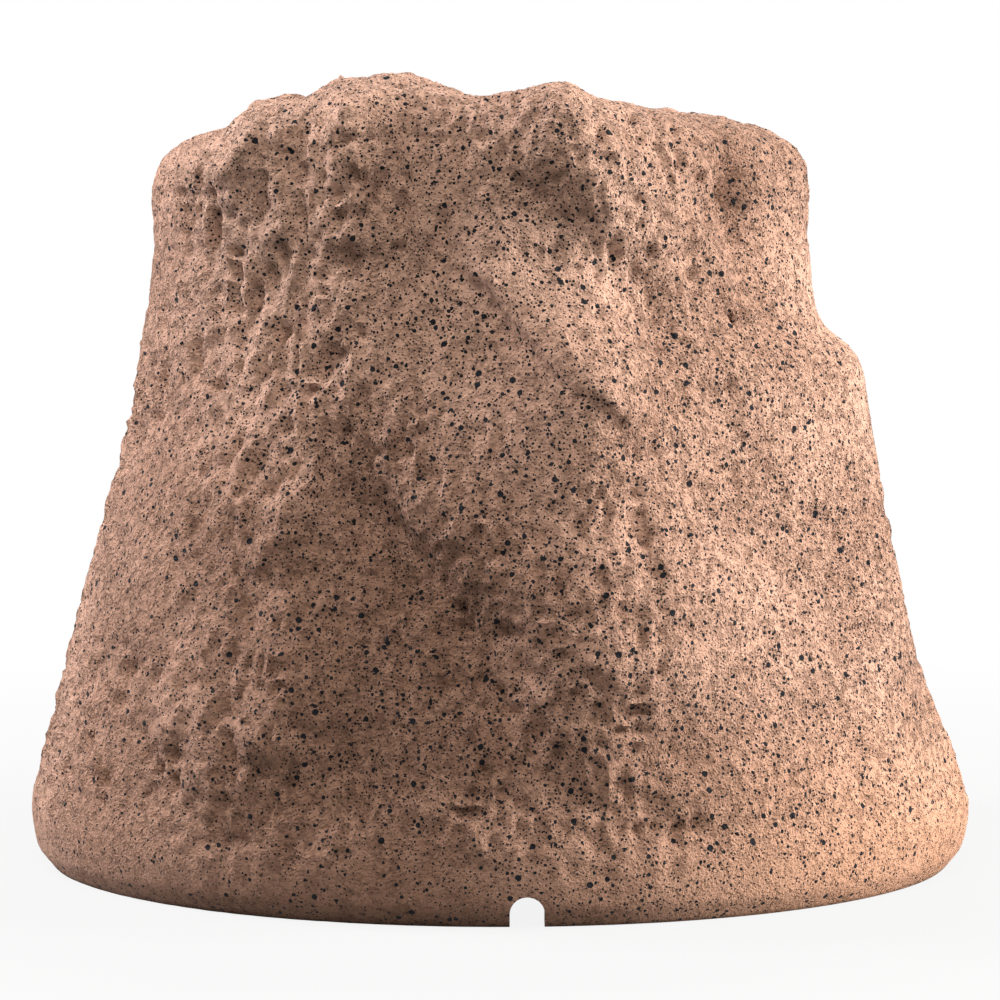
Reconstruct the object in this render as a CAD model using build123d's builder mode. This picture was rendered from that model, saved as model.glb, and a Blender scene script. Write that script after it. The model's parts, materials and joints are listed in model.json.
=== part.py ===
# Rock shaped garden speaker: a hollow cast rock with a coaxial driver behind a round grille in its front face.
# Millimetres, +Z up. The rock stands on its rim at Z = 0 and its front faces +Y.
# Its cable notch is at the back, on the -Y side.
import math
import os

from build123d import *

# Overall size of the rock
WIDTH = 340.0
DEPTH = 300.0
HEIGHT = 284.0

# Cast shell
WALL = 7.0
RIM_WIDTH = 9.0
SHOULDER = 222.0
RING_POINTS = 56
BACK_CROWDING = 0.4
SEAM_TURN = 90.0
FACET_SHARPNESS = 16.0
CREST_ROUNDING = 5.0
CREST_FALL = 0.05
CREST_HALF_WIDTH = 115.0
SKIRT_TOP = 22.0
FACETS_FROM = 110.0
GIRTH_RADIUS = 140.0
SCARP_SLOPE = 7.0
SCARP_FLOOR = 0.6
SCARP_CORNER = -28.0
SCARP_CORNER_END = -44.0
DROP_FOOT = 0.35
DROP_FROM = 40.0
DROP_FULL = 150.0
RIDGE_POWER = 1.4
LINE_FADE = 0.2
FORMS_FROM = 14.0
FORMS_FULL = 44.0
FORMS_FADE = 300.0
FORMS_END = 350.0

# Cable notch in the back of the rim
NOTCH_WIDTH = 11.6
NOTCH_HEIGHT = 11.0
NOTCH_X = 9.0

# Floor of the rock
BASE_RECESS = 24.0
BASE_THICKNESS = 5.0
BASE_CLEARANCE = 1.0
BASE_GASKET = 2.0
LEDGE_WIDTH = 16.0
LEDGE_THICKNESS = 10.0
BASE_SCREW_COUNT = 8

# Grille pocket in the front face
FACE_HEIGHT = 149.0
POCKET_DEPTH = 26.0
POCKET_RADIUS = 92.0
COLLAR_WALL = 6.0
SEAT_WIDTH = 13.0
SEAT_THICKNESS = 16.0

# Baffle and grille
BAFFLE_THICKNESS = 10.0
BAFFLE_CLEARANCE = 1.0
BAFFLE_GASKET = 2.0
DRIVER_RECESS = 5.0
GRILLE_SHEET = 1.2
GRILLE_RISE = 10.0
GRILLE_SLOPE = 4.0
HOLE_PITCH = 14.5
HOLE_RADIUS = 5.2
GRILLE_SCREW_COUNT = 6

# Woofer
DRIVER_RADIUS = 80.0
CUTOUT_RADIUS = 71.5
DRIVER_GASKET = 1.5
FLANGE_THICKNESS = 3.0
SHELF_WIDTH = 6.0
SHELF_DROP = 2.2
BASKET_WALL = 2.0
BASKET_DEPTH = 51.5
BASKET_FOOT_RADIUS = 45.0
SPIDER_LAND_RADIUS = 38.0
SPIDER_DEPTH = 38.0
WINDOW_COUNT = 6
WINDOW_FOOT = 30.0
WINDOW_HEAD = 54.0
STRIP_LENGTH = 18.0
STRIP_THICKNESS = 6.0
STRIP_HEIGHT = 9.0
CONE_RADIUS = 58.0
CONE_LIP = 5.0
CONE_SHEET = 0.9
CONE_FLARE = 2.6
CONE_TRAVEL_ROOM = 2.5
NECK_LENGTH = 3.5
SURROUND_SHEET = 0.8
SPIDER_SHEET = 0.7
SPIDER_WAVE = 2.2
SPIDER_RISE = 3.0
SPIDER_WAVES = 3
SPIDER_LAND = 3.0
SPIDER_GAP = 7.0
COIL_RADIUS = 13.0
FORMER_SHEET = 0.4
FORMER_LENGTH = 32.0
WINDING_LENGTH = 12.0
WINDING_THICKNESS = 0.8
AIR_GAP = 0.6
TOP_PLATE_RADIUS = 40.0
TOP_PLATE_THICKNESS = 5.0
MAGNET_RADIUS = 44.0
MAGNET_BORE = 22.0
MAGNET_THICKNESS = 15.0
YOKE_RADIUS = 42.0
YOKE_THICKNESS = 6.0
POLE_RADIUS = 12.2
POLE_PROUD = 1.0
DRIVER_SCREW_COUNT = 4
GLUE = 0.15

# Tweeter on its post
POST_RADIUS = 5.0
LEAD_BORE = 2.5
TWEETER_RADIUS = 19.0
TWEETER_DEPTH = 10.0
TWEETER_WALL = 1.5
TWEETER_BASE = 2.0
TWEETER_MAGNET_RADIUS = 12.0
TWEETER_MAGNET_THICKNESS = 4.0
DOME_RADIUS = 12.5
DOME_RISE = 3.5
DOME_SHEET = 0.5
TWEETER_RING = 3.5
TWEETER_FACE = 18.0

# Crossover on the floor
BOARD_LENGTH = 86.0
BOARD_WIDTH = 58.0
BOARD_THICKNESS = 1.6
BOARD_X = -46.0
BOARD_Y = -30.0
BOARD_MARGIN = 5.0
STANDOFF_HEIGHT = 8.0
STANDOFF_RADIUS = 3.5
COIL_OUTER = 17.0
COIL_CORE = 8.0
COIL_HEIGHT = 16.0
BOBBIN_SHEET = 1.5
CAPACITOR_RADIUS = 6.5
CAPACITOR_LENGTH = 26.0
RESISTOR_SIZE = 9.0
RESISTOR_LENGTH = 24.0
BLOCK_LENGTH = 22.0
BLOCK_WIDTH = 10.0
BLOCK_HEIGHT = 12.0

# Cable gland in the floor
GLAND_Y = -82.0
GLAND_BORE = 4.0
GLAND_THREAD = 8.0
GLAND_HEX = 19.0
GLAND_COLLAR = 4.0
GLAND_CAP_HEIGHT = 9.0
LOCKNUT_HEIGHT = 4.0
SEAL_HEIGHT = 5.0
GLAND_LIP = 2.0
GLAND_WALL = 1.6
GLAND_PROUD = 2.0

# Screws
SCREW_RADIUS = 2.0
PILOT_RADIUS = 1.7
SCREW_CLEARANCE = 0.3
SCREW_HEAD_RADIUS = 3.8
SCREW_HEAD_HEIGHT = 2.6
SCREW_TAPER = 15.0
GRILLE_SCREW_BITE = 12.0
BOARD_SCREW_RADIUS = 1.5
BOARD_SCREW_HEAD = 2.8

# Leads inside the rock
LEAD_RADIUS = 1.5
BEND_SHARE = 0.45
PAD_STEP = 12.0

# The rock's outlines: share of the height, then share of the half width or half depth
LEFT_EDGE = [(0, 0.959), (0.028, 0.991), (0.07, 1.0), (0.134, 0.974), (0.197, 0.941), (0.324, 0.885),
             (0.454, 0.824), (0.581, 0.768), (0.669, 0.744), (0.782, 0.729)]
RIGHT_EDGE = [(0, 0.959), (0.028, 0.991), (0.07, 1.0), (0.134, 0.965), (0.261, 0.879), (0.387, 0.821),
              (0.454, 0.8), (0.581, 0.771), (0.634, 0.756), (0.658, 0.729), (0.683, 0.676), (0.711, 0.653),
              (0.782, 0.641)]
REAR_EDGE = [(0, 0.953), (0.028, 0.99), (0.07, 1.0), (0.141, 0.98), (0.324, 0.887), (0.581, 0.753),
             (0.782, 0.653)]
FRONT_FOOT = (0.141, 0.97)
FRONT_HEAD = (0.782, 0.643)
FRONT_EDGE = [(0, 0.953), (0.028, 0.99), (0.07, 1.0), FRONT_FOOT, FRONT_HEAD]
# The skyline seen from behind: share of the half width, then share of the height
SKYLINE = [(-0.82, 0.923), (-0.65, 0.948), (-0.54, 0.955), (-0.43, 0.978), (-0.27, 1.005), (-0.17, 1.003),
           (-0.03, 0.977), (0.106, 0.996), (0.24, 0.977), (0.54, 0.955), (0.61, 0.947), (0.82, 0.923)]
# Flat facets round the rock: bearing from the back in degrees, then how far each stands off the oval
FACETS = [(-14, 1.0), (-56, 1.02), (-97, 1.0), (-132, 1.1), (180, 1.0), (132, 1.12), (92, 1.0), (41, 1.01)]
# Forms of the back are placed by bearing in degrees and by the climb up the wall and over the top.
# Broken steps: the line, rise and reach on its right, drop and reach on its left
SCARPS = [
    ([(23, 156), (13, 176), (8, 186), (1, 197), (-4, 210), (-12, 217), (-24, 224)], 7.0, 36.0, -3.0, 44.0),
    (
        [(20, 26), (13, 39), (7, 54), (4, 76), (3, 95), (-6, 116), (-14, 131), (-20, 150), (-24, 160)],
        3.0, 40.0, 11.0, 110.0,
    ),
]
# Ridges: the line, height and half width
RIDGES = [
    ([(-32, 150), (-31, 120), (-30, 93), (-29, 71), (-31, 45)], 6.0, 24.0),
    ([(-31, 286), (-29, 259), (-28, 239), (-25, 216)], 7.0, 26.0),
    ([(-40, 276), (-46, 267), (-54, 255)], 4.0, 14.0),
    ([(16, 178), (14, 160), (13, 130), (11, 100)], 2.5, 18.0),
    ([(34, 240), (44, 215), (47, 203)], 4.0, 14.0),
]
# Hollows: bearing, climb, half width, half height, turn in degrees, depth
HOLLOWS = [
    (24, 58, 16, 14, 0, 5.0),
    (-24, 58, 18, 18, 0, 7.0),
    (51, 248, 9, 22, 8, 7.0),
    (11, 233, 11, 13, 0, 3.5),
    (27, 199, 20, 18, 20, 5.0),
    (-70, 159, 9, 26, -25, 4.0),
    (51, 52, 12, 20, 50, 4.0),
    (-46, 247, 9, 16, -30, 4.0),
]
# Long swells of the cast: height, waves round the rock, length of a wave up the wall, turn in degrees
SWELLS = [(1.6, 5, 150.0, 20), (1.4, 8, -110.0, 120), (1.2, 11, 90.0, 230), (1.0, 3, -75.0, 70)]
# Rings below the ledge, rings from there to the shoulder, and turns of the rings over the top
FOOT_RINGS = 4
WALL_RINGS = 15
CREST_RINGS = [2, 8, 22, 38, 54, 68, 80, 86, 88.8, 89.8]
TOP_FLAT = 0.965


def soft_step(low, high, value):
    """Climb smoothly from 0 at low to 1 at high."""
    share = min(max((value - low) / (high - low), 0.0), 1.0)
    return share * share * (3 - 2 * share)


def outline(points, at):
    """Read a smooth curve through the points: a cubic on each span that doesn't overshoot them."""
    at = min(max(at, points[0][0]), points[-1][0])
    slopes = [(q[1] - p[1]) / (q[0] - p[0]) for p, q in zip(points, points[1:])]
    span = max(i for i in range(len(slopes)) if points[i][0] <= at)

    def tangent(i):
        if i in (0, len(slopes)):
            return slopes[min(i, len(slopes) - 1)]
        before, after = slopes[i - 1], slopes[i]
        return 2 * before * after / (before + after) if before * after > 0 else 0.0

    (x0, y0), (x1, y1) = points[span], points[span + 1]
    t = (at - x0) / (x1 - x0)
    start = (1 + 2 * t) * (1 - t) ** 2 * y0 + t * (1 - t) ** 2 * (x1 - x0) * tangent(span)
    end = t * t * (3 - 2 * t) * y1 + t * t * (t - 1) * (x1 - x0) * tangent(span + 1)
    return start + end


def plan_reach(bearing, height):
    """Distance from the upright axis to the rock's wall: an oval skirt that turns into flat facets above it."""
    share = height / HEIGHT
    left = outline(LEFT_EDGE, share) * WIDTH / 2
    right = outline(RIGHT_EDGE, share) * WIDTH / 2
    rear = outline(REAR_EDGE, share) * DEPTH / 2
    front = outline(FRONT_EDGE, share) * DEPTH / 2
    side = right if math.sin(bearing) > 0 else left
    end = rear if math.cos(bearing) > 0 else front
    oval = 1 / math.hypot(math.sin(bearing) / side, math.cos(bearing) / end)
    total = 0.0
    for degrees, stand_off in FACETS:
        facing = math.radians(degrees)
        facet_side = right if 0 < degrees < 180 else left
        facet_end = rear if abs(degrees) < 90 else front
        distance = stand_off * math.hypot(facet_side * math.sin(facing), facet_end * math.cos(facing))
        total += (max(math.cos(bearing - facing), 0.0) / distance) ** FACET_SHARPNESS
    faceted = total ** (-1 / FACET_SHARPNESS)
    blend = soft_step(SKIRT_TOP, FACETS_FROM, height)
    return oval + (faceted - oval) * blend


def along_line(girth, climb, line):
    """Distance to a line of (bearing, climb) points, the side (1 on its right) and the share along it."""
    places = [(math.radians(degrees) * GIRTH_RADIUS, height) for degrees, height in line]
    found = []
    for i, (start, end) in enumerate(zip(places, places[1:])):
        run_girth, run_climb = end[0] - start[0], end[1] - start[1]
        off_girth, off_climb = girth - start[0], climb - start[1]
        share = (off_girth * run_girth + off_climb * run_climb) / (run_girth**2 + run_climb**2)
        share = min(max(share, 0.0), 1.0)
        distance = math.hypot(off_girth - share * run_girth, off_climb - share * run_climb)
        side = 1 if off_girth * run_climb > off_climb * run_girth else -1
        found.append((distance, side, (i + share) / (len(places) - 1)))
    return min(found)


def line_ends(along):
    """Fade of a form towards both ends of its line."""
    return soft_step(0, LINE_FADE, along) * soft_step(0, LINE_FADE, 1 - along)


def step_height(girth, climb, step):
    """Height of a broken step: it falls evenly above its line, and below it stays low as far as the corner."""
    line, rise, rise_reach, drop, drop_reach = step
    distance, side, along = along_line(girth, climb, line)
    share = 0.5 + 0.5 * math.tanh(side * distance / SCARP_SLOPE)
    above = rise * max(1 - distance / rise_reach, 0.0)
    below = drop * (1 - soft_step(SCARP_FLOOR * drop_reach, drop_reach, distance))
    below *= DROP_FOOT + (1 - DROP_FOOT) * soft_step(DROP_FROM, DROP_FULL, climb)
    below *= soft_step(SCARP_CORNER_END, SCARP_CORNER, math.degrees(girth / GIRTH_RADIUS))
    return (share * above - (1 - share) * below) * line_ends(along)


def ridge_height(girth, climb, ridge):
    """Height of a ridge, sharp at its line and nothing at its half width."""
    line, height, half_width = ridge
    distance, _, along = along_line(girth, climb, line)
    return height * max(1 - distance / half_width, 0.0) ** RIDGE_POWER * line_ends(along)


def hollow_depth(girth, climb, place):
    """Depth of an oval hollow along its own turned axes."""
    degrees, height, half_width, half_height, turn, depth = place
    off_girth = girth - math.radians(degrees) * GIRTH_RADIUS
    off_climb = climb - height
    cos, sin = math.cos(math.radians(turn)), math.sin(math.radians(turn))
    across = (off_girth * cos + off_climb * sin) / half_width
    up = (off_climb * cos - off_girth * sin) / half_height
    return depth * math.exp(-(across**2) - up**2)


def crag(bearing, climb):
    """How far the skin stands off the plain rock: steps, ridges, hollows and swells above the foot."""
    bearing = math.remainder(bearing, 2 * math.pi)
    girth = bearing * GIRTH_RADIUS
    total = sum(step_height(girth, climb, step) for step in SCARPS)
    total += sum(ridge_height(girth, climb, ridge) for ridge in RIDGES)
    total -= sum(hollow_depth(girth, climb, place) for place in HOLLOWS)
    calm = 1 - math.sin(bearing) ** 4
    for height, waves, length, turn in SWELLS:
        total += calm * height * math.cos(waves * bearing + 2 * math.pi * climb / length + math.radians(turn))
    return total * soft_step(FORMS_FROM, FORMS_FULL, climb) * (1 - soft_step(FORMS_FADE, FORMS_END, climb))


def skyline(x, y):
    """Height of the top over a point: the skyline at the back, falling gently to the front."""
    return outline(SKYLINE, 2 * x / WIDTH) * HEIGHT - CREST_FALL * (y + DEPTH / 4)


def ring(points):
    """Closed smooth line through the points, evenly divided so that all rings match when lofted."""
    steps = [i / RING_POINTS for i in range(RING_POINTS + 1)]
    return Wire(Edge.make_spline([Vector(*point) for point in points], periodic=True, parameters=steps))


def bearings():
    """Bearings of a ring's points from the plain right side on, closest together at the back."""
    turns = [math.radians(SEAM_TURN + 360 * i / RING_POINTS) for i in range(RING_POINTS)]
    return [turn - BACK_CROWDING * math.sin(turn) for turn in turns]


def wall_ring(height, inset):
    """Level ring round the wall, moved in by the inset."""
    points = []
    for bearing in bearings():
        reach = plan_reach(bearing, height) + crag(bearing, height) - inset
        points.append((reach * math.sin(bearing), -reach * math.cos(bearing), height))
    return ring(points)


def crest_ring(turn, inset):
    """Ring over the rounded top edge: turn is 0 at the shoulder, and the last ring lies level."""
    inward = math.cos(math.radians(turn)) ** (2 / CREST_ROUNDING)
    upward = math.sin(math.radians(turn)) ** (2 / CREST_ROUNDING)
    flatness = soft_step(CREST_RINGS[-3], CREST_RINGS[-1], turn)
    climb = SHOULDER + (HEIGHT - SHOULDER) * upward + CREST_HALF_WIDTH * (1 - inward)
    points = []
    for bearing in bearings():
        skin = (plan_reach(bearing, SHOULDER) + crag(bearing, climb)) * inward
        edge = skyline(skin * math.sin(bearing), -skin * math.cos(bearing))
        top = edge + (TOP_FLAT * HEIGHT - edge) * flatness
        reach = skin - inset * inward
        rise = (top - inset - SHOULDER) * upward
        points.append((reach * math.sin(bearing), -reach * math.cos(bearing), SHOULDER + rise))
    return ring(points)


def rock_solid(heights, inset):
    """Solid inside the rock's skin, moved in by the inset, from the first height to a small flat on top."""
    rings = [wall_ring(height, inset) for height in heights]
    rings += [crest_ring(turn, inset) for turn in CREST_RINGS]
    return Solid.make_loft(rings)


# Where things sit on the floor
rim_half_width = LEFT_EDGE[0][1] * WIDTH / 2
rim_half_depth = REAR_EDGE[0][1] * DEPTH / 2
pocket_half_width = rim_half_width - RIM_WIDTH
pocket_half_depth = rim_half_depth - RIM_WIDTH
base_top = BASE_RECESS + BASE_THICKNESS
ledge_bottom = base_top + BASE_GASKET
ledge_top = ledge_bottom + LEDGE_THICKNESS
screw_inset = LEDGE_WIDTH / 2
base_screw_places = [
    ((pocket_half_width - screw_inset) * math.cos(turn), (pocket_half_depth - screw_inset) * math.sin(turn))
    for turn in (math.radians((i + 0.5) * 360 / BASE_SCREW_COUNT) for i in range(BASE_SCREW_COUNT))
]
board_corners = [
    (BOARD_X + across * (BOARD_LENGTH / 2 - BOARD_MARGIN), BOARD_Y + along * (BOARD_WIDTH / 2 - BOARD_MARGIN))
    for across in (-1, 1)
    for along in (-1, 1)
]

# The front face leans back along the line from its foot to its head
foot_z, foot_y = FRONT_FOOT[0] * HEIGHT, FRONT_FOOT[1] * DEPTH / 2
head_z, head_y = FRONT_HEAD[0] * HEIGHT, FRONT_HEAD[1] * DEPTH / 2
lean = math.atan2(foot_y - head_y, head_z - foot_z)
face_y = foot_y - (FACE_HEIGHT - foot_z) * math.tan(lean)
outward = Vector(0, math.cos(lean), math.sin(lean))
seat_centre = Vector(0, face_y, FACE_HEIGHT) - outward * POCKET_DEPTH
# Seat plane of the baffle, looking out of the rock, and the plane through the driver's axis for turned pieces
seat = Plane(seat_centre, x_dir=(-1, 0, 0), z_dir=outward)
section = Plane(seat_centre, x_dir=(1, 0, 0), z_dir=(0, -math.sin(lean), math.cos(lean)))
driver_axis = Axis(seat_centre, outward)


def turned(*points):
    """Turn a closed profile of (radius, distance out of the seat) about the driver's axis."""
    with BuildSketch(section) as profile:
        with BuildLine():
            Polyline(*points, close=True)
        make_face()
    revolve(profile.sketch, axis=driver_axis)


def disc_ring(inner, outer, low, high):
    """Flat ring about the driver's axis between two distances out of the seat."""
    turned((inner, low), (outer, low), (outer, high), (inner, high))


dome_sphere = (DOME_RADIUS**2 + DOME_RISE**2) / (2 * DOME_RISE)

# Distances out of the seat plane
baffle_back = BAFFLE_GASKET
baffle_front = baffle_back + BAFFLE_THICKNESS
recess_floor = baffle_front - DRIVER_RECESS
flange_back = recess_floor + DRIVER_GASKET
flange_front = flange_back + FLANGE_THICKNESS
shelf_front = flange_front - SHELF_DROP
basket_foot = flange_back - BASKET_DEPTH
spider_land = flange_back - SPIDER_DEPTH
baffle_radius = POCKET_RADIUS - BAFFLE_CLEARANCE
seat_bore = POCKET_RADIUS - SEAT_WIDTH
screw_circle = POCKET_RADIUS - SEAT_WIDTH / 2
driver_screw_circle = (DRIVER_RADIUS + CUTOUT_RADIUS) / 2

# Rock shell: the hollow leaves the collar round the grille pocket and the ledge for the floor
foot_heights = [ledge_top * i / FOOT_RINGS for i in range(FOOT_RINGS)]
wall_heights = [ledge_top + (SHOULDER - ledge_top) * i / WALL_RINGS for i in range(WALL_RINGS + 1)]
with BuildPart() as hollow:
    add(rock_solid(wall_heights, WALL))
    with BuildSketch(seat.offset(-SEAT_THICKNESS)):
        Circle(POCKET_RADIUS + COLLAR_WALL)
    extrude(amount=SEAT_THICKNESS + 2 * POCKET_DEPTH, mode=Mode.SUBTRACT)

with BuildPart() as rock_shell:
    add(rock_solid(foot_heights + wall_heights, 0.0))
    add(hollow.part, mode=Mode.SUBTRACT)
    with BuildSketch(Plane.XY.offset(-RIM_WIDTH)):
        Ellipse(pocket_half_width, pocket_half_depth)
    extrude(amount=RIM_WIDTH + ledge_bottom, mode=Mode.SUBTRACT)
    with BuildSketch():
        Ellipse(pocket_half_width - LEDGE_WIDTH, pocket_half_depth - LEDGE_WIDTH)
        with Locations(*base_screw_places):
            Circle(PILOT_RADIUS)
    extrude(amount=ledge_top + BASE_CLEARANCE, mode=Mode.SUBTRACT)
    with BuildSketch(seat):
        Circle(POCKET_RADIUS)
    extrude(amount=2 * POCKET_DEPTH, mode=Mode.SUBTRACT)
    with BuildSketch(seat.offset(-2 * SEAT_THICKNESS)):
        Circle(seat_bore)
    extrude(amount=2 * SEAT_THICKNESS + POCKET_DEPTH, mode=Mode.SUBTRACT)
    with BuildSketch(seat.offset(-GRILLE_SCREW_BITE)):
        with PolarLocations(screw_circle, GRILLE_SCREW_COUNT):
            Circle(PILOT_RADIUS)
    extrude(amount=GRILLE_SCREW_BITE + POCKET_DEPTH, mode=Mode.SUBTRACT)
    with BuildSketch(Plane.XZ):
        with Locations((NOTCH_X, 0)):
            Rectangle(NOTCH_WIDTH, 2 * NOTCH_HEIGHT - NOTCH_WIDTH)
        with Locations((NOTCH_X, NOTCH_HEIGHT - NOTCH_WIDTH / 2)):
            Circle(NOTCH_WIDTH / 2)
    extrude(amount=DEPTH, mode=Mode.SUBTRACT)

# Grille and baffle
grille_front = baffle_front + GRILLE_RISE
grille_foot = DRIVER_RADIUS + SCREW_CLEARANCE
grille_face = grille_foot - GRILLE_SLOPE
row_step = HOLE_PITCH * math.sqrt(3) / 2
hole_reach = grille_face - HOLE_PITCH / 2
hole_rows = int(hole_reach / row_step)
hole_places = [
    ((column + 0.5 * (row % 2)) * HOLE_PITCH, row * row_step)
    for row in range(-hole_rows, hole_rows + 1)
    for column in range(-hole_rows - 1, hole_rows + 1)
    if math.hypot((column + 0.5 * (row % 2)) * HOLE_PITCH, row * row_step) < hole_reach
]

with BuildPart() as front_grille:
    turned(
        (0, grille_front),
        (grille_face, grille_front),
        (grille_foot, baffle_front),
        (baffle_radius, baffle_front),
        (baffle_radius, baffle_front + GRILLE_SHEET),
        (grille_foot + GRILLE_SHEET / 2, baffle_front + GRILLE_SHEET),
        (grille_face + GRILLE_SHEET / 2, grille_front + GRILLE_SHEET),
        (0, grille_front + GRILLE_SHEET),
    )
    with BuildSketch(seat.offset(grille_front)):
        with Locations(*hole_places):
            RegularPolygon(HOLE_RADIUS, 6)
    extrude(amount=GRILLE_SHEET, mode=Mode.SUBTRACT)
    with BuildSketch(seat.offset(baffle_front)):
        with PolarLocations(screw_circle, GRILLE_SCREW_COUNT):
            Circle(SCREW_RADIUS + SCREW_CLEARANCE)
    extrude(amount=GRILLE_SHEET, mode=Mode.SUBTRACT)

with BuildPart() as grille_screws:
    with BuildSketch(seat.offset(baffle_front + GRILLE_SHEET)):
        with PolarLocations(screw_circle, GRILLE_SCREW_COUNT):
            Circle(SCREW_HEAD_RADIUS)
    extrude(amount=SCREW_HEAD_HEIGHT, taper=SCREW_TAPER)
    with BuildSketch(seat.offset(-GRILLE_SCREW_BITE)):
        with PolarLocations(screw_circle, GRILLE_SCREW_COUNT):
            Circle(PILOT_RADIUS - GLUE)
    extrude(amount=GRILLE_SCREW_BITE + baffle_front + GRILLE_SHEET)

with BuildPart() as baffle:
    turned(
        (CUTOUT_RADIUS, baffle_back),
        (baffle_radius, baffle_back),
        (baffle_radius, baffle_front),
        (DRIVER_RADIUS + SCREW_CLEARANCE, baffle_front),
        (DRIVER_RADIUS + SCREW_CLEARANCE, recess_floor),
        (CUTOUT_RADIUS, recess_floor),
    )
    with BuildSketch(seat.offset(baffle_back)):
        with PolarLocations(screw_circle, GRILLE_SCREW_COUNT):
            Circle(SCREW_RADIUS + SCREW_CLEARANCE)
        with PolarLocations(driver_screw_circle, DRIVER_SCREW_COUNT):
            Circle(PILOT_RADIUS)
    extrude(amount=BAFFLE_THICKNESS, mode=Mode.SUBTRACT)

with BuildPart() as baffle_gasket:
    disc_ring(seat_bore, baffle_radius, 0, baffle_back)
    with BuildSketch(seat):
        with PolarLocations(screw_circle, GRILLE_SCREW_COUNT):
            Circle(SCREW_RADIUS + SCREW_CLEARANCE)
    extrude(amount=BAFFLE_GASKET, mode=Mode.SUBTRACT)

# Woofer frame
wall_head = CUTOUT_RADIUS - BASKET_WALL / 2
wall_foot = BASKET_FOOT_RADIUS + BASKET_WALL / 2
shelf_edge = CUTOUT_RADIUS - SHELF_WIDTH
foot_bore = COIL_RADIUS + SPIDER_GAP

with BuildPart() as woofer_basket:
    turned(
        (DRIVER_RADIUS, flange_front),
        (DRIVER_RADIUS, flange_back),
        (wall_head, flange_back),
        (wall_foot, spider_land - BASKET_WALL),
        (BASKET_FOOT_RADIUS, basket_foot),
        (foot_bore, basket_foot),
        (foot_bore, basket_foot + BASKET_WALL),
        (BASKET_FOOT_RADIUS - BASKET_WALL, basket_foot + BASKET_WALL),
        (BASKET_FOOT_RADIUS - BASKET_WALL, spider_land - BASKET_WALL),
        (SPIDER_LAND_RADIUS, spider_land - BASKET_WALL),
        (SPIDER_LAND_RADIUS, spider_land),
        (wall_foot - BASKET_WALL, spider_land),
        (shelf_edge, shelf_front - BASKET_WALL),
        (shelf_edge, shelf_front),
        (CUTOUT_RADIUS, shelf_front),
        (CUTOUT_RADIUS, flange_front),
    )
    with BuildSketch(seat.offset(spider_land + BASKET_WALL)):
        with PolarLocations(0, WINDOW_COUNT):
            with BuildLine():
                Polyline(
                    (BASKET_FOOT_RADIUS, -WINDOW_FOOT / 2),
                    (CUTOUT_RADIUS, -WINDOW_HEAD / 2),
                    (CUTOUT_RADIUS, WINDOW_HEAD / 2),
                    (BASKET_FOOT_RADIUS, WINDOW_FOOT / 2),
                    close=True,
                )
            make_face()
    extrude(amount=SPIDER_DEPTH - 3 * BASKET_WALL, mode=Mode.SUBTRACT)
    with BuildSketch(seat.offset(flange_back)):
        with PolarLocations(driver_screw_circle, DRIVER_SCREW_COUNT):
            Circle(SCREW_RADIUS + SCREW_CLEARANCE)
    extrude(amount=FLANGE_THICKNESS, mode=Mode.SUBTRACT)

with BuildPart() as woofer_gasket:
    disc_ring(CUTOUT_RADIUS, DRIVER_RADIUS, recess_floor, flange_back)
    with BuildSketch(seat.offset(recess_floor)):
        with PolarLocations(driver_screw_circle, DRIVER_SCREW_COUNT):
            Circle(SCREW_RADIUS + SCREW_CLEARANCE)
    extrude(amount=DRIVER_GASKET, mode=Mode.SUBTRACT)

with BuildPart() as woofer_screws:
    with BuildSketch(seat.offset(flange_front)):
        with PolarLocations(driver_screw_circle, DRIVER_SCREW_COUNT):
            Circle(SCREW_HEAD_RADIUS)
    extrude(amount=SCREW_HEAD_HEIGHT, taper=SCREW_TAPER)
    with BuildSketch(seat.offset(baffle_back)):
        with PolarLocations(driver_screw_circle, DRIVER_SCREW_COUNT):
            Circle(PILOT_RADIUS - GLUE)
    extrude(amount=flange_front - baffle_back)

with BuildPart() as terminal_strip:
    with BuildSketch(seat.offset(basket_foot + BASKET_WALL / 2)):
        with Locations((0, -BASKET_FOOT_RADIUS - STRIP_THICKNESS / 2)):
            Rectangle(STRIP_LENGTH, STRIP_THICKNESS)
        Circle(wall_foot + GLUE, mode=Mode.SUBTRACT)
    extrude(amount=STRIP_HEIGHT)

# Woofer cone and coil, which travel together
former_outer = COIL_RADIUS + FORMER_SHEET
neck_bore = former_outer + GLUE
neck_foot = spider_land + SPIDER_RISE + CONE_TRAVEL_ROOM
neck_top = neck_foot + NECK_LENGTH
former_top = neck_top
winding_middle = basket_foot - TOP_PLATE_THICKNESS / 2
winding_back = winding_middle - WINDING_LENGTH / 2
winding_outer = neck_bore + WINDING_THICKNESS
lip_bore = CONE_RADIUS - CONE_LIP
flare_radius = (lip_bore + neck_bore) / 2
flare_out = (shelf_front + neck_top) / 2 - CONE_FLARE

with BuildPart() as woofer_cone:
    turned(
        (CONE_RADIUS, shelf_front),
        (CONE_RADIUS, shelf_front - CONE_SHEET),
        (lip_bore + CONE_SHEET / 2, shelf_front - CONE_SHEET),
        (flare_radius + CONE_SHEET / 2, flare_out - CONE_SHEET),
        (neck_bore + CONE_SHEET, neck_top - CONE_SHEET),
        (neck_bore + CONE_SHEET, neck_foot),
        (neck_bore, neck_foot),
        (neck_bore, neck_top),
        (flare_radius, flare_out),
        (lip_bore, shelf_front),
    )

with BuildPart() as voice_coil_former:
    disc_ring(COIL_RADIUS, former_outer, former_top - FORMER_LENGTH, former_top)

with BuildPart() as voice_coil_winding:
    disc_ring(neck_bore, winding_outer, winding_back, winding_back + WINDING_LENGTH)

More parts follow.
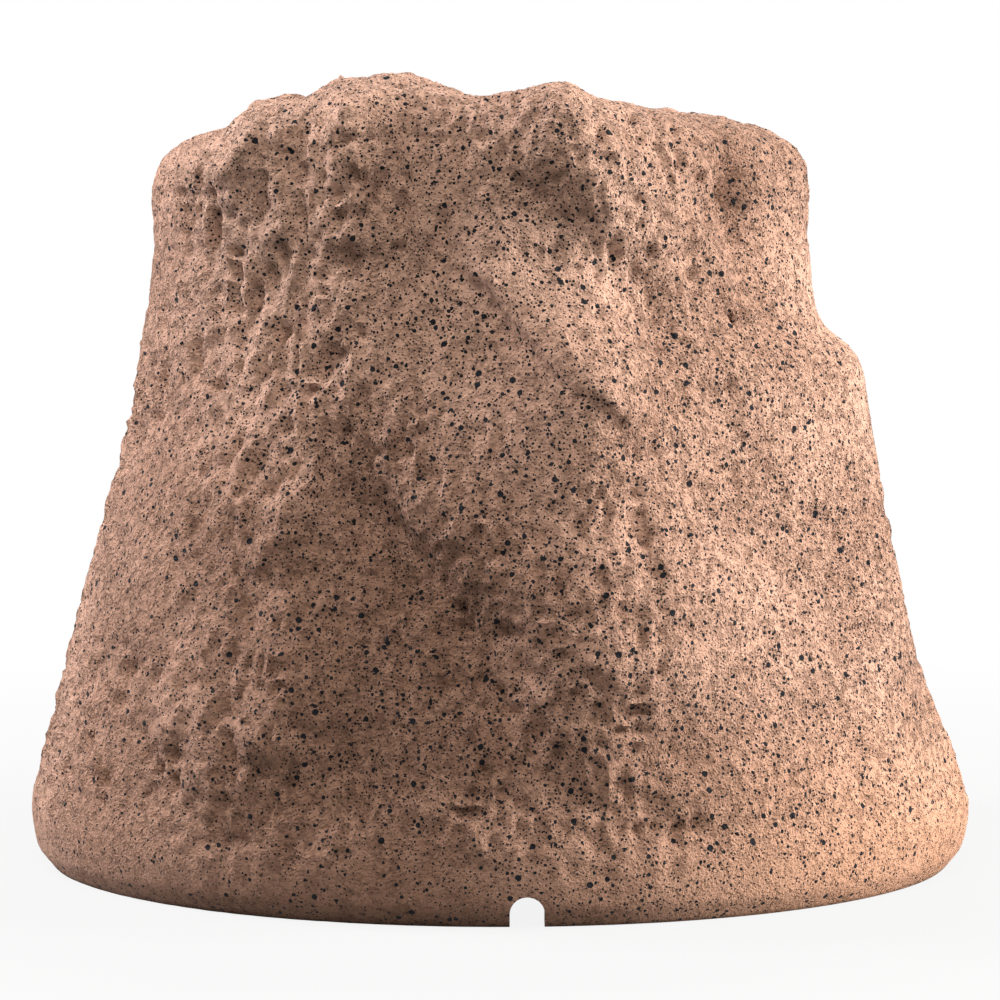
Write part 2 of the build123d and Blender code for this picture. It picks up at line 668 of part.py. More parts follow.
# Suspension: a half roll at the cone's edge and a corrugated spider at the coil
roll_inner = CONE_RADIUS + GLUE
roll_outer = shelf_edge
roll_middle = (roll_inner + roll_outer) / 2
roll_back = shelf_front + GLUE

with BuildPart() as woofer_surround:
    with BuildSketch(section):
        with BuildLine():
            Line((lip_bore, roll_back), (lip_bore, roll_back + SURROUND_SHEET))
            Line((lip_bore, roll_back + SURROUND_SHEET), (roll_inner, roll_back + SURROUND_SHEET))
            ThreePointArc(
                (roll_inner, roll_back + SURROUND_SHEET),
                (roll_middle, roll_back + SURROUND_SHEET + (roll_outer - roll_inner) / 2),
                (roll_outer, roll_back + SURROUND_SHEET),
            )
            Line((roll_outer, roll_back + SURROUND_SHEET), (CUTOUT_RADIUS - GLUE, roll_back + SURROUND_SHEET))
            Line((CUTOUT_RADIUS - GLUE, roll_back + SURROUND_SHEET), (CUTOUT_RADIUS - GLUE, roll_back))
            Line((CUTOUT_RADIUS - GLUE, roll_back), (roll_outer - SURROUND_SHEET, roll_back))
            ThreePointArc(
                (roll_outer - SURROUND_SHEET, roll_back),
                (roll_middle, roll_back + (roll_outer - roll_inner) / 2),
                (roll_inner + SURROUND_SHEET, roll_back),
            )
            Line((roll_inner + SURROUND_SHEET, roll_back), (lip_bore, roll_back))
        make_face()
    revolve(axis=driver_axis)

wave_start = neck_bore + SPIDER_LAND
wave_end = SPIDER_LAND_RADIUS
wave_step = (wave_end - wave_start) / (2 * SPIDER_WAVES)
spider_back = spider_land + GLUE
wave_points = [
    (wave_start + i * wave_step, spider_back + (SPIDER_WAVE if i % 2 else 0.0))
    for i in range(2 * SPIDER_WAVES + 1)
]
spider_profile = [(neck_bore, spider_back)] + wave_points + [(BASKET_FOOT_RADIUS - BASKET_WALL, spider_back)]

with BuildPart() as spider:
    turned(*spider_profile, *[(radius, height + SPIDER_SHEET) for radius, height in reversed(spider_profile)])

# Magnet system
top_plate_back = basket_foot - TOP_PLATE_THICKNESS
magnet_back = top_plate_back - MAGNET_THICKNESS
yoke_back = magnet_back - YOKE_THICKNESS
pole_front = basket_foot + POLE_PROUD

with BuildPart() as top_plate:
    disc_ring(winding_outer + AIR_GAP, TOP_PLATE_RADIUS, top_plate_back, basket_foot)

with BuildPart() as woofer_magnet:
    disc_ring(MAGNET_BORE, MAGNET_RADIUS, magnet_back, top_plate_back)

with BuildPart() as pole_yoke:
    turned(
        (LEAD_BORE, yoke_back),
        (YOKE_RADIUS, yoke_back),
        (YOKE_RADIUS, magnet_back),
        (POLE_RADIUS, magnet_back),
        (POLE_RADIUS, pole_front),
        (LEAD_BORE, pole_front),
    )

# Tweeter
tweeter_top = TWEETER_FACE - TWEETER_RING
tweeter_back = tweeter_top - TWEETER_DEPTH
tweeter_floor = tweeter_back + TWEETER_BASE
flange_seat = tweeter_top - DOME_SHEET
clamp_radius = TWEETER_RADIUS - TWEETER_WALL
chamber_radius = clamp_radius - TWEETER_WALL

with BuildPart() as tweeter_post:
    disc_ring(LEAD_BORE, POST_RADIUS, pole_front, tweeter_back)

with BuildPart() as tweeter_housing:
    turned(
        (LEAD_BORE, tweeter_back),
        (TWEETER_RADIUS, tweeter_back),
        (TWEETER_RADIUS, tweeter_top),
        (clamp_radius, tweeter_top),
        (clamp_radius, flange_seat),
        (chamber_radius, flange_seat),
        (chamber_radius, tweeter_floor),
        (LEAD_BORE, tweeter_floor),
    )

with BuildPart() as tweeter_magnet:
    disc_ring(LEAD_BORE, TWEETER_MAGNET_RADIUS, tweeter_floor, tweeter_floor + TWEETER_MAGNET_THICKNESS)

with BuildPart() as tweeter_dome:
    with BuildSketch(section):
        with BuildLine():
            Line((0, flange_seat + DOME_RISE), (0, tweeter_top + DOME_RISE))
            RadiusArc((0, tweeter_top + DOME_RISE), (DOME_RADIUS, tweeter_top), dome_sphere)
            Line((DOME_RADIUS, tweeter_top), (clamp_radius - GLUE, tweeter_top))
            Line((clamp_radius - GLUE, tweeter_top), (clamp_radius - GLUE, flange_seat))
            Line((clamp_radius - GLUE, flange_seat), (DOME_RADIUS, flange_seat))
            RadiusArc((DOME_RADIUS, flange_seat), (0, flange_seat + DOME_RISE), -dome_sphere)
        make_face()
    revolve(axis=driver_axis)

with BuildPart() as tweeter_ring:
    turned(
        (DOME_RADIUS + TWEETER_WALL, tweeter_top),
        (TWEETER_RADIUS, tweeter_top),
        (TWEETER_RADIUS, TWEETER_FACE - TWEETER_WALL),
        (TWEETER_RADIUS - TWEETER_WALL, TWEETER_FACE),
        (DOME_RADIUS + 2 * TWEETER_WALL, TWEETER_FACE),
    )

# Floor
with BuildPart() as base_plate:
    with BuildSketch(Plane.XY.offset(BASE_RECESS)):
        Ellipse(pocket_half_width - BASE_CLEARANCE, pocket_half_depth - BASE_CLEARANCE)
        with Locations(*base_screw_places):
            Circle(SCREW_RADIUS + SCREW_CLEARANCE, mode=Mode.SUBTRACT)
        with Locations((NOTCH_X, GLAND_Y)):
            Circle(GLAND_THREAD + SCREW_CLEARANCE, mode=Mode.SUBTRACT)
        with Locations(*board_corners):
            Circle(BOARD_SCREW_RADIUS, mode=Mode.SUBTRACT)
    extrude(amount=BASE_THICKNESS)

with BuildPart() as base_gasket:
    with BuildSketch(Plane.XY.offset(base_top)):
        Ellipse(pocket_half_width - BASE_CLEARANCE, pocket_half_depth - BASE_CLEARANCE)
        Ellipse(pocket_half_width - LEDGE_WIDTH, pocket_half_depth - LEDGE_WIDTH, mode=Mode.SUBTRACT)
        with Locations(*base_screw_places):
            Circle(SCREW_RADIUS + SCREW_CLEARANCE, mode=Mode.SUBTRACT)
    extrude(amount=BASE_GASKET)

with BuildPart() as base_screws:
    with BuildSketch(Plane.XY.offset(BASE_RECESS)):
        with Locations(*base_screw_places):
            Circle(SCREW_HEAD_RADIUS)
    extrude(amount=-SCREW_HEAD_HEIGHT, taper=SCREW_TAPER)
    with BuildSketch(Plane.XY.offset(BASE_RECESS)):
        with Locations(*base_screw_places):
            Circle(PILOT_RADIUS - GLUE)
    extrude(amount=BASE_THICKNESS + BASE_GASKET + LEDGE_THICKNESS - SCREW_RADIUS)

# Crossover
board_back = base_top + STANDOFF_HEIGHT
board_top = board_back + BOARD_THICKNESS

with BuildPart() as board_standoffs:
    with BuildSketch(Plane.XY.offset(base_top)):
        with Locations(*board_corners):
            Circle(STANDOFF_RADIUS)
            Circle(BOARD_SCREW_RADIUS + SCREW_CLEARANCE, mode=Mode.SUBTRACT)
    extrude(amount=STANDOFF_HEIGHT)

with BuildPart() as crossover_board:
    with BuildSketch(Plane.XY.offset(board_back)):
        with Locations((BOARD_X, BOARD_Y)):
            Rectangle(BOARD_LENGTH, BOARD_WIDTH)
        with Locations(*board_corners):
            Circle(BOARD_SCREW_RADIUS + SCREW_CLEARANCE, mode=Mode.SUBTRACT)
    extrude(amount=BOARD_THICKNESS)

with BuildPart() as board_screws:
    with BuildSketch(Plane.XY.offset(board_top)):
        with Locations(*board_corners):
            Circle(BOARD_SCREW_HEAD)
    extrude(amount=BOARD_SCREW_RADIUS)
    with BuildSketch(Plane.XY.offset(base_top - BASE_THICKNESS / 2)):
        with Locations(*board_corners):
            Circle(BOARD_SCREW_RADIUS - GLUE)
    extrude(amount=board_top - base_top + BASE_THICKNESS / 2)

coil_plane = Plane((BOARD_X - BOARD_LENGTH / 4, BOARD_Y, board_top))
with BuildPart(coil_plane) as coil_bobbin:
    with BuildSketch(coil_plane):
        Circle(COIL_OUTER)
        Circle(COIL_CORE - BOBBIN_SHEET, mode=Mode.SUBTRACT)
    extrude(amount=BOBBIN_SHEET)
    with BuildSketch(coil_plane.offset(COIL_HEIGHT - BOBBIN_SHEET)):
        Circle(COIL_OUTER)
        Circle(COIL_CORE - BOBBIN_SHEET, mode=Mode.SUBTRACT)
    extrude(amount=BOBBIN_SHEET)
    with BuildSketch(coil_plane):
        Circle(COIL_CORE)
        Circle(COIL_CORE - BOBBIN_SHEET, mode=Mode.SUBTRACT)
    extrude(amount=COIL_HEIGHT)

with BuildPart() as coil_winding:
    with BuildSketch(coil_plane.offset(BOBBIN_SHEET + GLUE)):
        Circle(COIL_OUTER - BOBBIN_SHEET)
        Circle(COIL_CORE + GLUE, mode=Mode.SUBTRACT)
    extrude(amount=COIL_HEIGHT - 2 * BOBBIN_SHEET - 2 * GLUE)

capacitor_x = BOARD_X + CAPACITOR_LENGTH / 2
capacitor_step = CAPACITOR_RADIUS + BOARD_SCREW_RADIUS
capacitor_rise = board_top + CAPACITOR_RADIUS + GLUE
with BuildPart() as capacitors:
    with BuildSketch(Plane.YZ.offset(capacitor_x - CAPACITOR_LENGTH / 2)):
        with Locations(*[(BOARD_Y + side * capacitor_step, capacitor_rise) for side in (-1, 1)]):
            Circle(CAPACITOR_RADIUS)
    extrude(amount=CAPACITOR_LENGTH)

with BuildPart() as resistor:
    with BuildSketch(Plane.XY.offset(board_top)):
        with Locations((capacitor_x, BOARD_Y - BOARD_WIDTH / 2 + RESISTOR_SIZE)):
            RectangleRounded(RESISTOR_LENGTH, RESISTOR_SIZE, BOARD_SCREW_RADIUS)
    extrude(amount=RESISTOR_SIZE)

block_x = BOARD_X + BOARD_LENGTH / 2 - BLOCK_WIDTH / 2
entry_rise = board_top + BLOCK_HEIGHT / 3
with BuildPart() as terminal_block:
    with BuildSketch(Plane.XY.offset(board_top)):
        with Locations((block_x, BOARD_Y)):
            Rectangle(BLOCK_WIDTH, BLOCK_LENGTH)
    extrude(amount=BLOCK_HEIGHT)
    with BuildSketch(Plane.YZ.offset(block_x)):
        with Locations(*[(BOARD_Y + side * BLOCK_LENGTH / 4, entry_rise) for side in (-1, 1)]):
            Circle(BLOCK_HEIGHT / 5)
    extrude(amount=BLOCK_WIDTH / 2, mode=Mode.SUBTRACT)
    with BuildSketch(Plane.XY.offset(board_top + BLOCK_HEIGHT)):
        with Locations(*[(block_x, BOARD_Y + side * BLOCK_LENGTH / 4) for side in (-1, 1)]):
            Circle(BLOCK_HEIGHT / 5)
    extrude(amount=-BLOCK_HEIGHT / 3, mode=Mode.SUBTRACT)

# Cable gland, from below: cap, seal, body through the floor, locknut above it
gland = Plane((NOTCH_X, GLAND_Y, 0))
collar_bottom = BASE_RECESS - GLAND_COLLAR
cap_bottom = collar_bottom - GLAND_CAP_HEIGHT
stub_bottom = cap_bottom + GLAND_LIP + GLUE
seal_radius = GLAND_THREAD - GLAND_WALL
gland_top = base_top + LOCKNUT_HEIGHT + GLAND_PROUD

with BuildPart() as gland_body:
    with BuildSketch(gland.offset(collar_bottom)):
        RegularPolygon(GLAND_HEX / 2, 6, major_radius=False)
    extrude(amount=GLAND_COLLAR)
    with BuildSketch(gland.offset(stub_bottom)):
        Circle(GLAND_THREAD)
    extrude(amount=gland_top - stub_bottom)
    with BuildSketch(gland.offset(stub_bottom)):
        Circle(GLAND_BORE)
    extrude(amount=gland_top - stub_bottom, mode=Mode.SUBTRACT)
    with BuildSketch(gland.offset(stub_bottom)):
        Circle(seal_radius)
    extrude(amount=SEAL_HEIGHT, mode=Mode.SUBTRACT)

with BuildPart() as gland_seal:
    with BuildSketch(gland.offset(stub_bottom)):
        Circle(seal_radius - GLUE)
        Circle(GLAND_BORE, mode=Mode.SUBTRACT)
    extrude(amount=SEAL_HEIGHT - GLUE)

with BuildPart() as gland_cap:
    with BuildSketch(gland.offset(cap_bottom)):
        RegularPolygon(GLAND_HEX / 2, 6, major_radius=False)
    extrude(amount=GLAND_CAP_HEIGHT - GLUE)
    fillet(gland_cap.faces().sort_by(Axis.Z)[0].edges(), GLAND_LIP / 2)
    with BuildSketch(gland.offset(cap_bottom)):
        Circle(GLAND_BORE)
    extrude(amount=GLAND_LIP, mode=Mode.SUBTRACT)
    with BuildSketch(gland.offset(cap_bottom + GLAND_LIP)):
        Circle(GLAND_THREAD + GLUE)
    extrude(amount=GLAND_CAP_HEIGHT, mode=Mode.SUBTRACT)

with BuildPart() as gland_locknut:
    with BuildSketch(gland.offset(base_top)):
        RegularPolygon(GLAND_HEX / 2, 6, major_radius=False)
        Circle(GLAND_THREAD + GLUE, mode=Mode.SUBTRACT)
    extrude(amount=LOCKNUT_HEIGHT)


# Leads inside the rock
def lead(points):
    """Round lead along straight runs, with each bend as large as its two runs allow."""
    places = [Vector(*point) for point in points]
    radii = []
    for before, corner, after in zip(places, places[1:], places[2:]):
        arriving, leaving = corner - before, after - corner
        turn = math.radians(arriving.get_angle(leaving))
        radii.append(BEND_SHARE * min(arriving.length, leaving.length) / math.tan(turn / 2))
    with BuildLine() as route:
        FilletPolyline(*places, radius=radii)
    with BuildSketch(Plane(places[0], z_dir=places[1] - places[0])) as profile:
        Circle(LEAD_RADIUS)
    sweep(profile.sketch, path=route.wire())


def driver_point(across, up, out):
    """Point given across, up and out of the seat plane."""
    return tuple(seat.from_local_coords((-across, up, out)))


strip_outer = BASKET_FOOT_RADIUS + STRIP_THICKNESS
strip_middle = basket_foot + BASKET_WALL / 2 + STRIP_HEIGHT / 2
pad_y = BOARD_Y + BOARD_WIDTH / 2 - BOARD_MARGIN
woofer_pad = BOARD_X + PAD_STEP
tweeter_pad = BOARD_X - PAD_STEP

with BuildPart() as woofer_lead:
    lead([
        driver_point(0, -strip_outer, strip_middle),
        driver_point(0, -strip_outer - 12, strip_middle),
        driver_point(-6, -strip_outer - 22, strip_middle - 14),
        (-14, 30, board_top + 22),
        (-24, 12, board_top + 24),
        (woofer_pad, pad_y, board_top + 18),
        (woofer_pad, pad_y, board_top),
    ])

with BuildPart() as tweeter_lead:
    lead([
        driver_point(0, 0, tweeter_floor - LEAD_BORE),
        driver_point(0, 0, yoke_back - 24),
        driver_point(-3, -22, yoke_back - 38),
        (-18, -2, board_top + 50),
        (-38, -4, board_top + 36),
        (tweeter_pad, pad_y, board_top + 20),
        (tweeter_pad, pad_y, board_top),
    ])

pieces = {
    "rock_shell": rock_shell,
    "front_grille": front_grille,
    "grille_screws": grille_screws,
    "baffle": baffle,
    "baffle_gasket": baffle_gasket,
    "woofer_basket": woofer_basket,
    "woofer_gasket": woofer_gasket,
    "woofer_screws": woofer_screws,
    "terminal_strip": terminal_strip,
    "woofer_cone": woofer_cone,
    "voice_coil_former": voice_coil_former,
    "voice_coil_winding": voice_coil_winding,
    "woofer_surround": woofer_surround,
    "spider": spider,
    "top_plate": top_plate,
    "woofer_magnet": woofer_magnet,
    "pole_yoke": pole_yoke,
    "tweeter_post": tweeter_post,
    "tweeter_housing": tweeter_housing,
    "tweeter_magnet": tweeter_magnet,
    "tweeter_dome": tweeter_dome,
    "tweeter_ring": tweeter_ring,
    "base_plate": base_plate,
    "base_gasket": base_gasket,
    "base_screws": base_screws,
    "board_standoffs": board_standoffs,
    "crossover_board": crossover_board,
    "board_screws": board_screws,
    "coil_bobbin": coil_bobbin,
    "coil_winding": coil_winding,
    "capacitors": capacitors,
    "resistor": resistor,
    "terminal_block": terminal_block,
    "gland_body": gland_body,
    "gland_seal": gland_seal,
    "gland_cap": gland_cap,
    "gland_locknut": gland_locknut,
    "woofer_lead": woofer_lead,
    "tweeter_lead": tweeter_lead,
}
os.makedirs("parts", exist_ok=True)
for name, piece in pieces.items():
    piece.part.label = name
    export_step(piece.part, f"parts/{name}.step")
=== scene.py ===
import json
import math

import bpy
import numpy as np
from bpy.props import FloatProperty, FloatVectorProperty, IntProperty, PointerProperty
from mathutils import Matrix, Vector


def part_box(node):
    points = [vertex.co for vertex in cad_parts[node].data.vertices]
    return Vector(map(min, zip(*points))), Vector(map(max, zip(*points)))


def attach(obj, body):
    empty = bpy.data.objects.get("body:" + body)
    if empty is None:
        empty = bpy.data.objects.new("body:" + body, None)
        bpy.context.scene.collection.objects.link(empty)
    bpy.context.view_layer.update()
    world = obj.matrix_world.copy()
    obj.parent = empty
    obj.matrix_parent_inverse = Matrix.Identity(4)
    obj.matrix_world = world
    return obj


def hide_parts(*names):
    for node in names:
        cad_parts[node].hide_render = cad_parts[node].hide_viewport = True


bl_info = {
    "name": "Garden Rock Speaker",
    "version": (1, 0, 0),
    "blender": (4, 5, 0),
    "location": "View3D > Sidebar > Rock Speaker",
    "description": "Cast stone shell, perforated grille and finishes of a rock shaped garden speaker",
    "category": "Object",
}

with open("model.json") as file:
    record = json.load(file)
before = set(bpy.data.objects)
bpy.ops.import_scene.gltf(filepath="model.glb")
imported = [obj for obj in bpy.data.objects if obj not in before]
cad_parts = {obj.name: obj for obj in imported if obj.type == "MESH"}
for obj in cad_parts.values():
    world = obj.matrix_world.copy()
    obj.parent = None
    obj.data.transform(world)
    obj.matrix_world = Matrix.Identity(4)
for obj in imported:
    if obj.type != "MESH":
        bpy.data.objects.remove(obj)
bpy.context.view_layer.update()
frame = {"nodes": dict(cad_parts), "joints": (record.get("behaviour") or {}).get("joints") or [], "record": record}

# Shapes are worked out in millimetres
MM = 0.001
BODY = "cabinet"

# The rock's own box, from the frame
ROCK_LOW, ROCK_HIGH = (np.array(corner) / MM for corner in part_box("rock_shell"))
WIDTH, DEPTH, HEIGHT = ROCK_HIGH - ROCK_LOW

# The driver's axis points out of the front, and the baffle's seat is under its gasket
OUTWARD = np.array(frame["joints"][0]["axis"])
GASKET_THICKNESS = 2.0
SEAT = sum(np.array(corner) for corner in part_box("baffle_gasket")) / 2 / MM - OUTWARD * GASKET_THICKNESS / 2

# Directions across and up the driver's front
ACROSS = np.array([1.0, 0.0, 0.0])
UPRIGHT = np.cross(OUTWARD, ACROSS)

# The cast rock: heights in millimetres, bearings in degrees from the back and positive to the right
SHOULDER = 222.0
FACET_SHARPNESS = 16.0
CREST_ROUNDING = 6.5
CREST_FALL = 0.05
CREST_HALF_WIDTH = 115.0
CREST_STEPS = 600
FACETS_RISE = (22.0, 110.0)
GIRTH_RADIUS = 140.0
FORMS_RISE = (14.0, 44.0)
FORMS_FADE = (350.0, 300.0)

# Outlines: share of the height, then share of the half width or half depth
LEFT_EDGE = [(0, 0.959), (0.028, 0.991), (0.07, 1.0), (0.134, 0.974), (0.197, 0.941), (0.324, 0.885),
             (0.454, 0.824), (0.581, 0.768), (0.669, 0.744), (0.782, 0.729)]
RIGHT_EDGE = [(0, 0.959), (0.028, 0.991), (0.07, 1.0), (0.134, 0.965), (0.261, 0.879), (0.387, 0.821),
              (0.454, 0.8), (0.581, 0.771), (0.634, 0.756), (0.658, 0.729), (0.683, 0.676), (0.711, 0.653),
              (0.782, 0.641)]
REAR_EDGE = [(0, 0.953), (0.028, 0.99), (0.07, 1.0), (0.141, 0.98), (0.324, 0.887), (0.581, 0.753),
             (0.782, 0.653)]
FRONT_EDGE = [(0, 0.953), (0.028, 0.99), (0.07, 1.0), (0.141, 0.97), (0.782, 0.643)]
# The skyline seen from behind: share of the half width, then share of the height
SKYLINE = [(-0.82, 0.92), (-0.65, 0.941), (-0.57, 0.945), (-0.5, 0.97), (-0.41, 0.972), (-0.32, 0.995),
           (-0.2, 0.998), (-0.12, 0.983), (-0.04, 0.969), (0.04, 0.977), (0.12, 0.988), (0.2, 0.971),
           (0.34, 0.959), (0.54, 0.947), (0.61, 0.939), (0.82, 0.917)]
# Flat facets: bearing, then how far each stands off the oval
FACETS = [(-14, 1.0), (-56, 1.02), (-97, 1.0), (-132, 1.1), (180, 1.0), (132, 1.12), (92, 1.0), (41, 1.01)]

# Broken steps: the line as (bearing, climb), rise and reach on its right, drop and reach on its left, slope
SCARPS = [
    ([(23, 156), (13, 176), (8, 186), (1, 197), (-4, 210), (-11, 220)], 9.5, 40.0, -3.0, 44.0, 1.6),
    ([(20, 26), (13, 39), (7, 54), (4, 76), (3, 95), (-6, 116), (-14, 131), (-20, 150), (-24, 160)],
     3.0, 40.0, 7.0, 110.0, 5.5),
]
# Ridges: the line, height and half width
RIDGES = [
    ([(-32, 150), (-31, 120), (-30, 93), (-29, 71), (-31, 45)], 8.5, 22.0),
    ([(-31, 286), (-29, 259), (-28, 239), (-25, 216)], 10.0, 22.0),
    ([(-40, 276), (-46, 267), (-54, 255)], 4.0, 14.0),
    ([(16, 178), (14, 160), (13, 130), (11, 100)], 2.5, 18.0),
    ([(34, 240), (44, 215), (47, 203)], 4.0, 14.0),
]
# Hollows: bearing, climb, half width, half height, turn in degrees, depth
HOLLOWS = [
    (24, 58, 16, 14, 0, 5.0), (-24, 58, 18, 18, 0, 7.0),
    (51, 248, 10, 26, 8, 9.0), (11, 233, 11, 13, 0, 1.2),
    (27, 199, 20, 18, 20, 5.0), (-70, 159, 9, 26, -25, 4.0),
    (51, 52, 12, 20, 50, 4.0), (-46, 247, 9, 16, -30, 1.5),
]
# Long swells: height, waves round the rock, length of a wave up the wall, turn in degrees
SWELLS = [(1.6, 5, 150.0, 20), (1.4, 8, -110.0, 120), (1.2, 11, 90.0, 230), (1.0, 3, -75.0, 70)]
# Small marks in the same columns, one a knob of negative depth
MARKS = [
    (-57, 268, 8, 7, 0, 2.5), (-44, 209, 4, 18, -40, 1.5),
    (50, 199, 3.5, 3.5, 0, -4.0), (47, 198, 2, 4, 0, 3.0),
    (20, 126, 4, 13, 0, 2.5), (40, 112, 4, 34, 0, 1.5),
    (-50, 90, 5, 34, -12, 1.5), (-38, 73, 4, 30, 5, 1.5),
]
# Level share of a step's reach, and share of a line over which its ends fade
SCARP_FLOOR = 0.6
LINE_FADE = 0.2
# A step's low side ends round the left corner, and is shallow at the foot
SCARP_CORNER = (-44.0, -28.0)
DROP_FOOT = 0.35
DROP_RISE = (40.0, 150.0)

# Weathering noises: block size in millimetres, octaves and seed
WARP_GIRTH_NOISE = (36.0, 2, 11)
WARP_CLIMB_NOISE = (36.0, 2, 23)
RUN_NOISE = ((8.0, 8.0, 26.0), 3, 41)
LUMP_NOISE = (15.0, 3, 53)
CHIP_NOISE = (6.5, 2, 67)
FOOT_NOISE = (44.0, 2, 71)
PATCH_NOISE = (55.0, 2, 83)
# Reach of the warp, and heights of runs, lumps and chips, in millimetres
WARP = 4.5
RUN_HEIGHT = 2.3
LUMP_HEIGHT = 0.9
CHIP_HEIGHT = 2.2
# Size of a folded noise that stands neither in nor out
FOLD_LEVEL = 0.4
# Erosion runs come in along this span of x, and lumps lose a share of their height there
LEFT_SPAN = (30.0, -60.0)
LUMP_LEFT_LOSS = 0.4
# The relief is calmer at both sides, slight on the rim, patchy on the wall and rougher on the crest
SIDE_CALM = 0.3
RIM_RELIEF = 0.08
RIM_SPAN = (10.0, 36.0)
RIM_WANDER = 14.0
PATCH_LEAST = 0.5
PATCH_GAIN = 1.1
PATCH_SPAN = (-0.35, 0.45)
PATCH_LEFT_GAIN = 0.4
CREST_GAIN = 0.4
CREST_SPAN = (225.0, 260.0)
# Crowding of the columns at the back, and how far short of the middle the rows end
COLUMN_CROWDING = 0.5
TOP_GAP = 4.0

# Mixing numbers of the hashed lattice
HASH_PRIMES = np.array([374761393, 668265263, 1442695041], dtype=np.int64)
HASH_STEP = 974634347
HASH_MIX = 1274126177
HASH_SHIFTS = (13, 16)
HASH_RANGE = 0xFFFF


def soft_step(low, high, value):
    """Climb smoothly from 0 at low to 1 at high: a share t as 3t^2 - 2t^3."""
    share = np.clip((value - low) / (high - low), 0.0, 1.0)
    return share * share * (3.0 - 2.0 * share)


def outline(points, at):
    """Smooth curve through the points: cubic spans whose end slopes are the harmonic mean of the chords."""
    place, level = np.array(points, float).T
    chord = np.diff(level) / np.diff(place)
    before, after = chord[:-1], chord[1:]
    agree = before * after > 0
    inner = np.where(agree, 2 * before * after / np.where(agree, before + after, 1.0), 0.0)
    slope = np.concatenate([chord[:1], inner, chord[-1:]])
    at = np.clip(at, place[0], place[-1])
    span = np.clip(np.searchsorted(place, at, side="right") - 1, 0, len(chord) - 1)
    step = place[span + 1] - place[span]
    t = (at - place[span]) / step
    start = (1 + 2 * t) * (1 - t) ** 2 * level[span] + t * (1 - t) ** 2 * step * slope[span]
    end = t * t * (3 - 2 * t) * level[span + 1] + t * t * (t - 1) * step * slope[span + 1]
    return start + end


def plan_reach(bearing, height):
    """Distance from the upright axis to the wall: an oval skirt that turns into flat facets above it.

    A facet facing angle a at distance d is reached at d / cos(bearing - a), and the facets are joined by a
    power mean that stays near the nearest one.
    """
    share = height / HEIGHT
    left = outline(LEFT_EDGE, share) * WIDTH / 2
    right = outline(RIGHT_EDGE, share) * WIDTH / 2
    rear = outline(REAR_EDGE, share) * DEPTH / 2
    front = outline(FRONT_EDGE, share) * DEPTH / 2
    side = np.where(np.sin(bearing) > 0, right, left)
    end = np.where(np.cos(bearing) > 0, rear, front)
    oval = 1 / np.hypot(np.sin(bearing) / side, np.cos(bearing) / end)
    total = 0.0
    for degrees, stand_off in FACETS:
        facing = math.radians(degrees)
        facet_side = right if 0 < degrees < 180 else left
        facet_end = rear if abs(degrees) < 90 else front
        distance = stand_off * np.hypot(facet_side * math.sin(facing), facet_end * math.cos(facing))
        total = total + (np.maximum(np.cos(bearing - facing), 0.0) / distance) ** FACET_SHARPNESS
    faceted = total ** (-1 / FACET_SHARPNESS)
    return oval + (faceted - oval) * soft_step(*FACETS_RISE, height)


def skyline(x, y):
    """Height of the top over a point: the skyline at the back, falling gently to the front."""
    return outline(SKYLINE, 2 * x / WIDTH) * HEIGHT - CREST_FALL * (y + DEPTH / 4)


def crest_section():
    """Rounded top edge as (turn, length along it): a superellipse of the crest's half width and rise."""
    share = np.linspace(0.0, 1.0, CREST_STEPS)
    turn = math.pi / 2 * share**3 / (share**3 + (1 - share) ** 3)
    across = CREST_HALF_WIDTH * np.cos(turn).clip(0) ** (2 / CREST_ROUNDING)
    up = (HEIGHT - SHOULDER) * np.sin(turn) ** (2 / CREST_ROUNDING)
    length = np.concatenate([[0.0], np.cumsum(np.hypot(np.diff(across), np.diff(up)))])
    return turn, length


CREST_TURN, CREST_LENGTH = crest_section()
CLIMB_TOP = SHOULDER + CREST_LENGTH[-1]


def rock_skin(bearing, climb, inset, crag):
    """Point of the rock: climb goes up the wall to the shoulder, then over the crest to the middle.

    The crag is how far the skin stands off the plain rock there.
    """
    wall = np.minimum(climb, SHOULDER)
    turn = np.interp(climb - SHOULDER, CREST_LENGTH, CREST_TURN)
    inward = np.cos(turn).clip(0) ** (2 / CREST_ROUNDING)
    upward = np.sin(turn) ** (2 / CREST_ROUNDING)
    skin = (plan_reach(bearing, wall) + crag) * inward
    top = skyline(skin * np.sin(bearing), -skin * np.cos(bearing)) - inset
    reach = skin - inset * inward
    height = wall + (top - SHOULDER) * upward
    return np.stack([reach * np.sin(bearing), -reach * np.cos(bearing), height], axis=-1)


def hashed(cells, seed):
    """Random value from -1 to 1 for each whole-numbered cell, the same on every run."""
    mixed = (cells * HASH_PRIMES).sum(-1) + seed * HASH_STEP
    mixed = (mixed ^ (mixed >> HASH_SHIFTS[0])) * HASH_MIX
    return 2.0 * ((mixed ^ (mixed >> HASH_SHIFTS[1])) & HASH_RANGE) / HASH_RANGE - 1.0


def lattice_noise(points, size, seed):
    """Smooth noise from -1 to 1: random values at the corners of blocks, blended in between."""
    cell = points / size
    low = np.floor(cell).astype(np.int64)
    part = cell - low
    blend = part * part * (3 - 2 * part)
    total = 0.0
    for corner in np.ndindex(2, 2, 2):
        weight = np.where(corner, blend, 1 - blend).prod(-1)
        total = total + weight * hashed(low + np.array(corner), seed)
    return total


def fractal(points, size, octaves, seed):
    """Sum of lattice noises, each half the size and half the strength of the one before."""
    total = 0.0
    for octave in range(octaves):
        total = total + lattice_noise(points, np.asarray(size) / 2**octave, seed + octave) / 2**octave
    return total


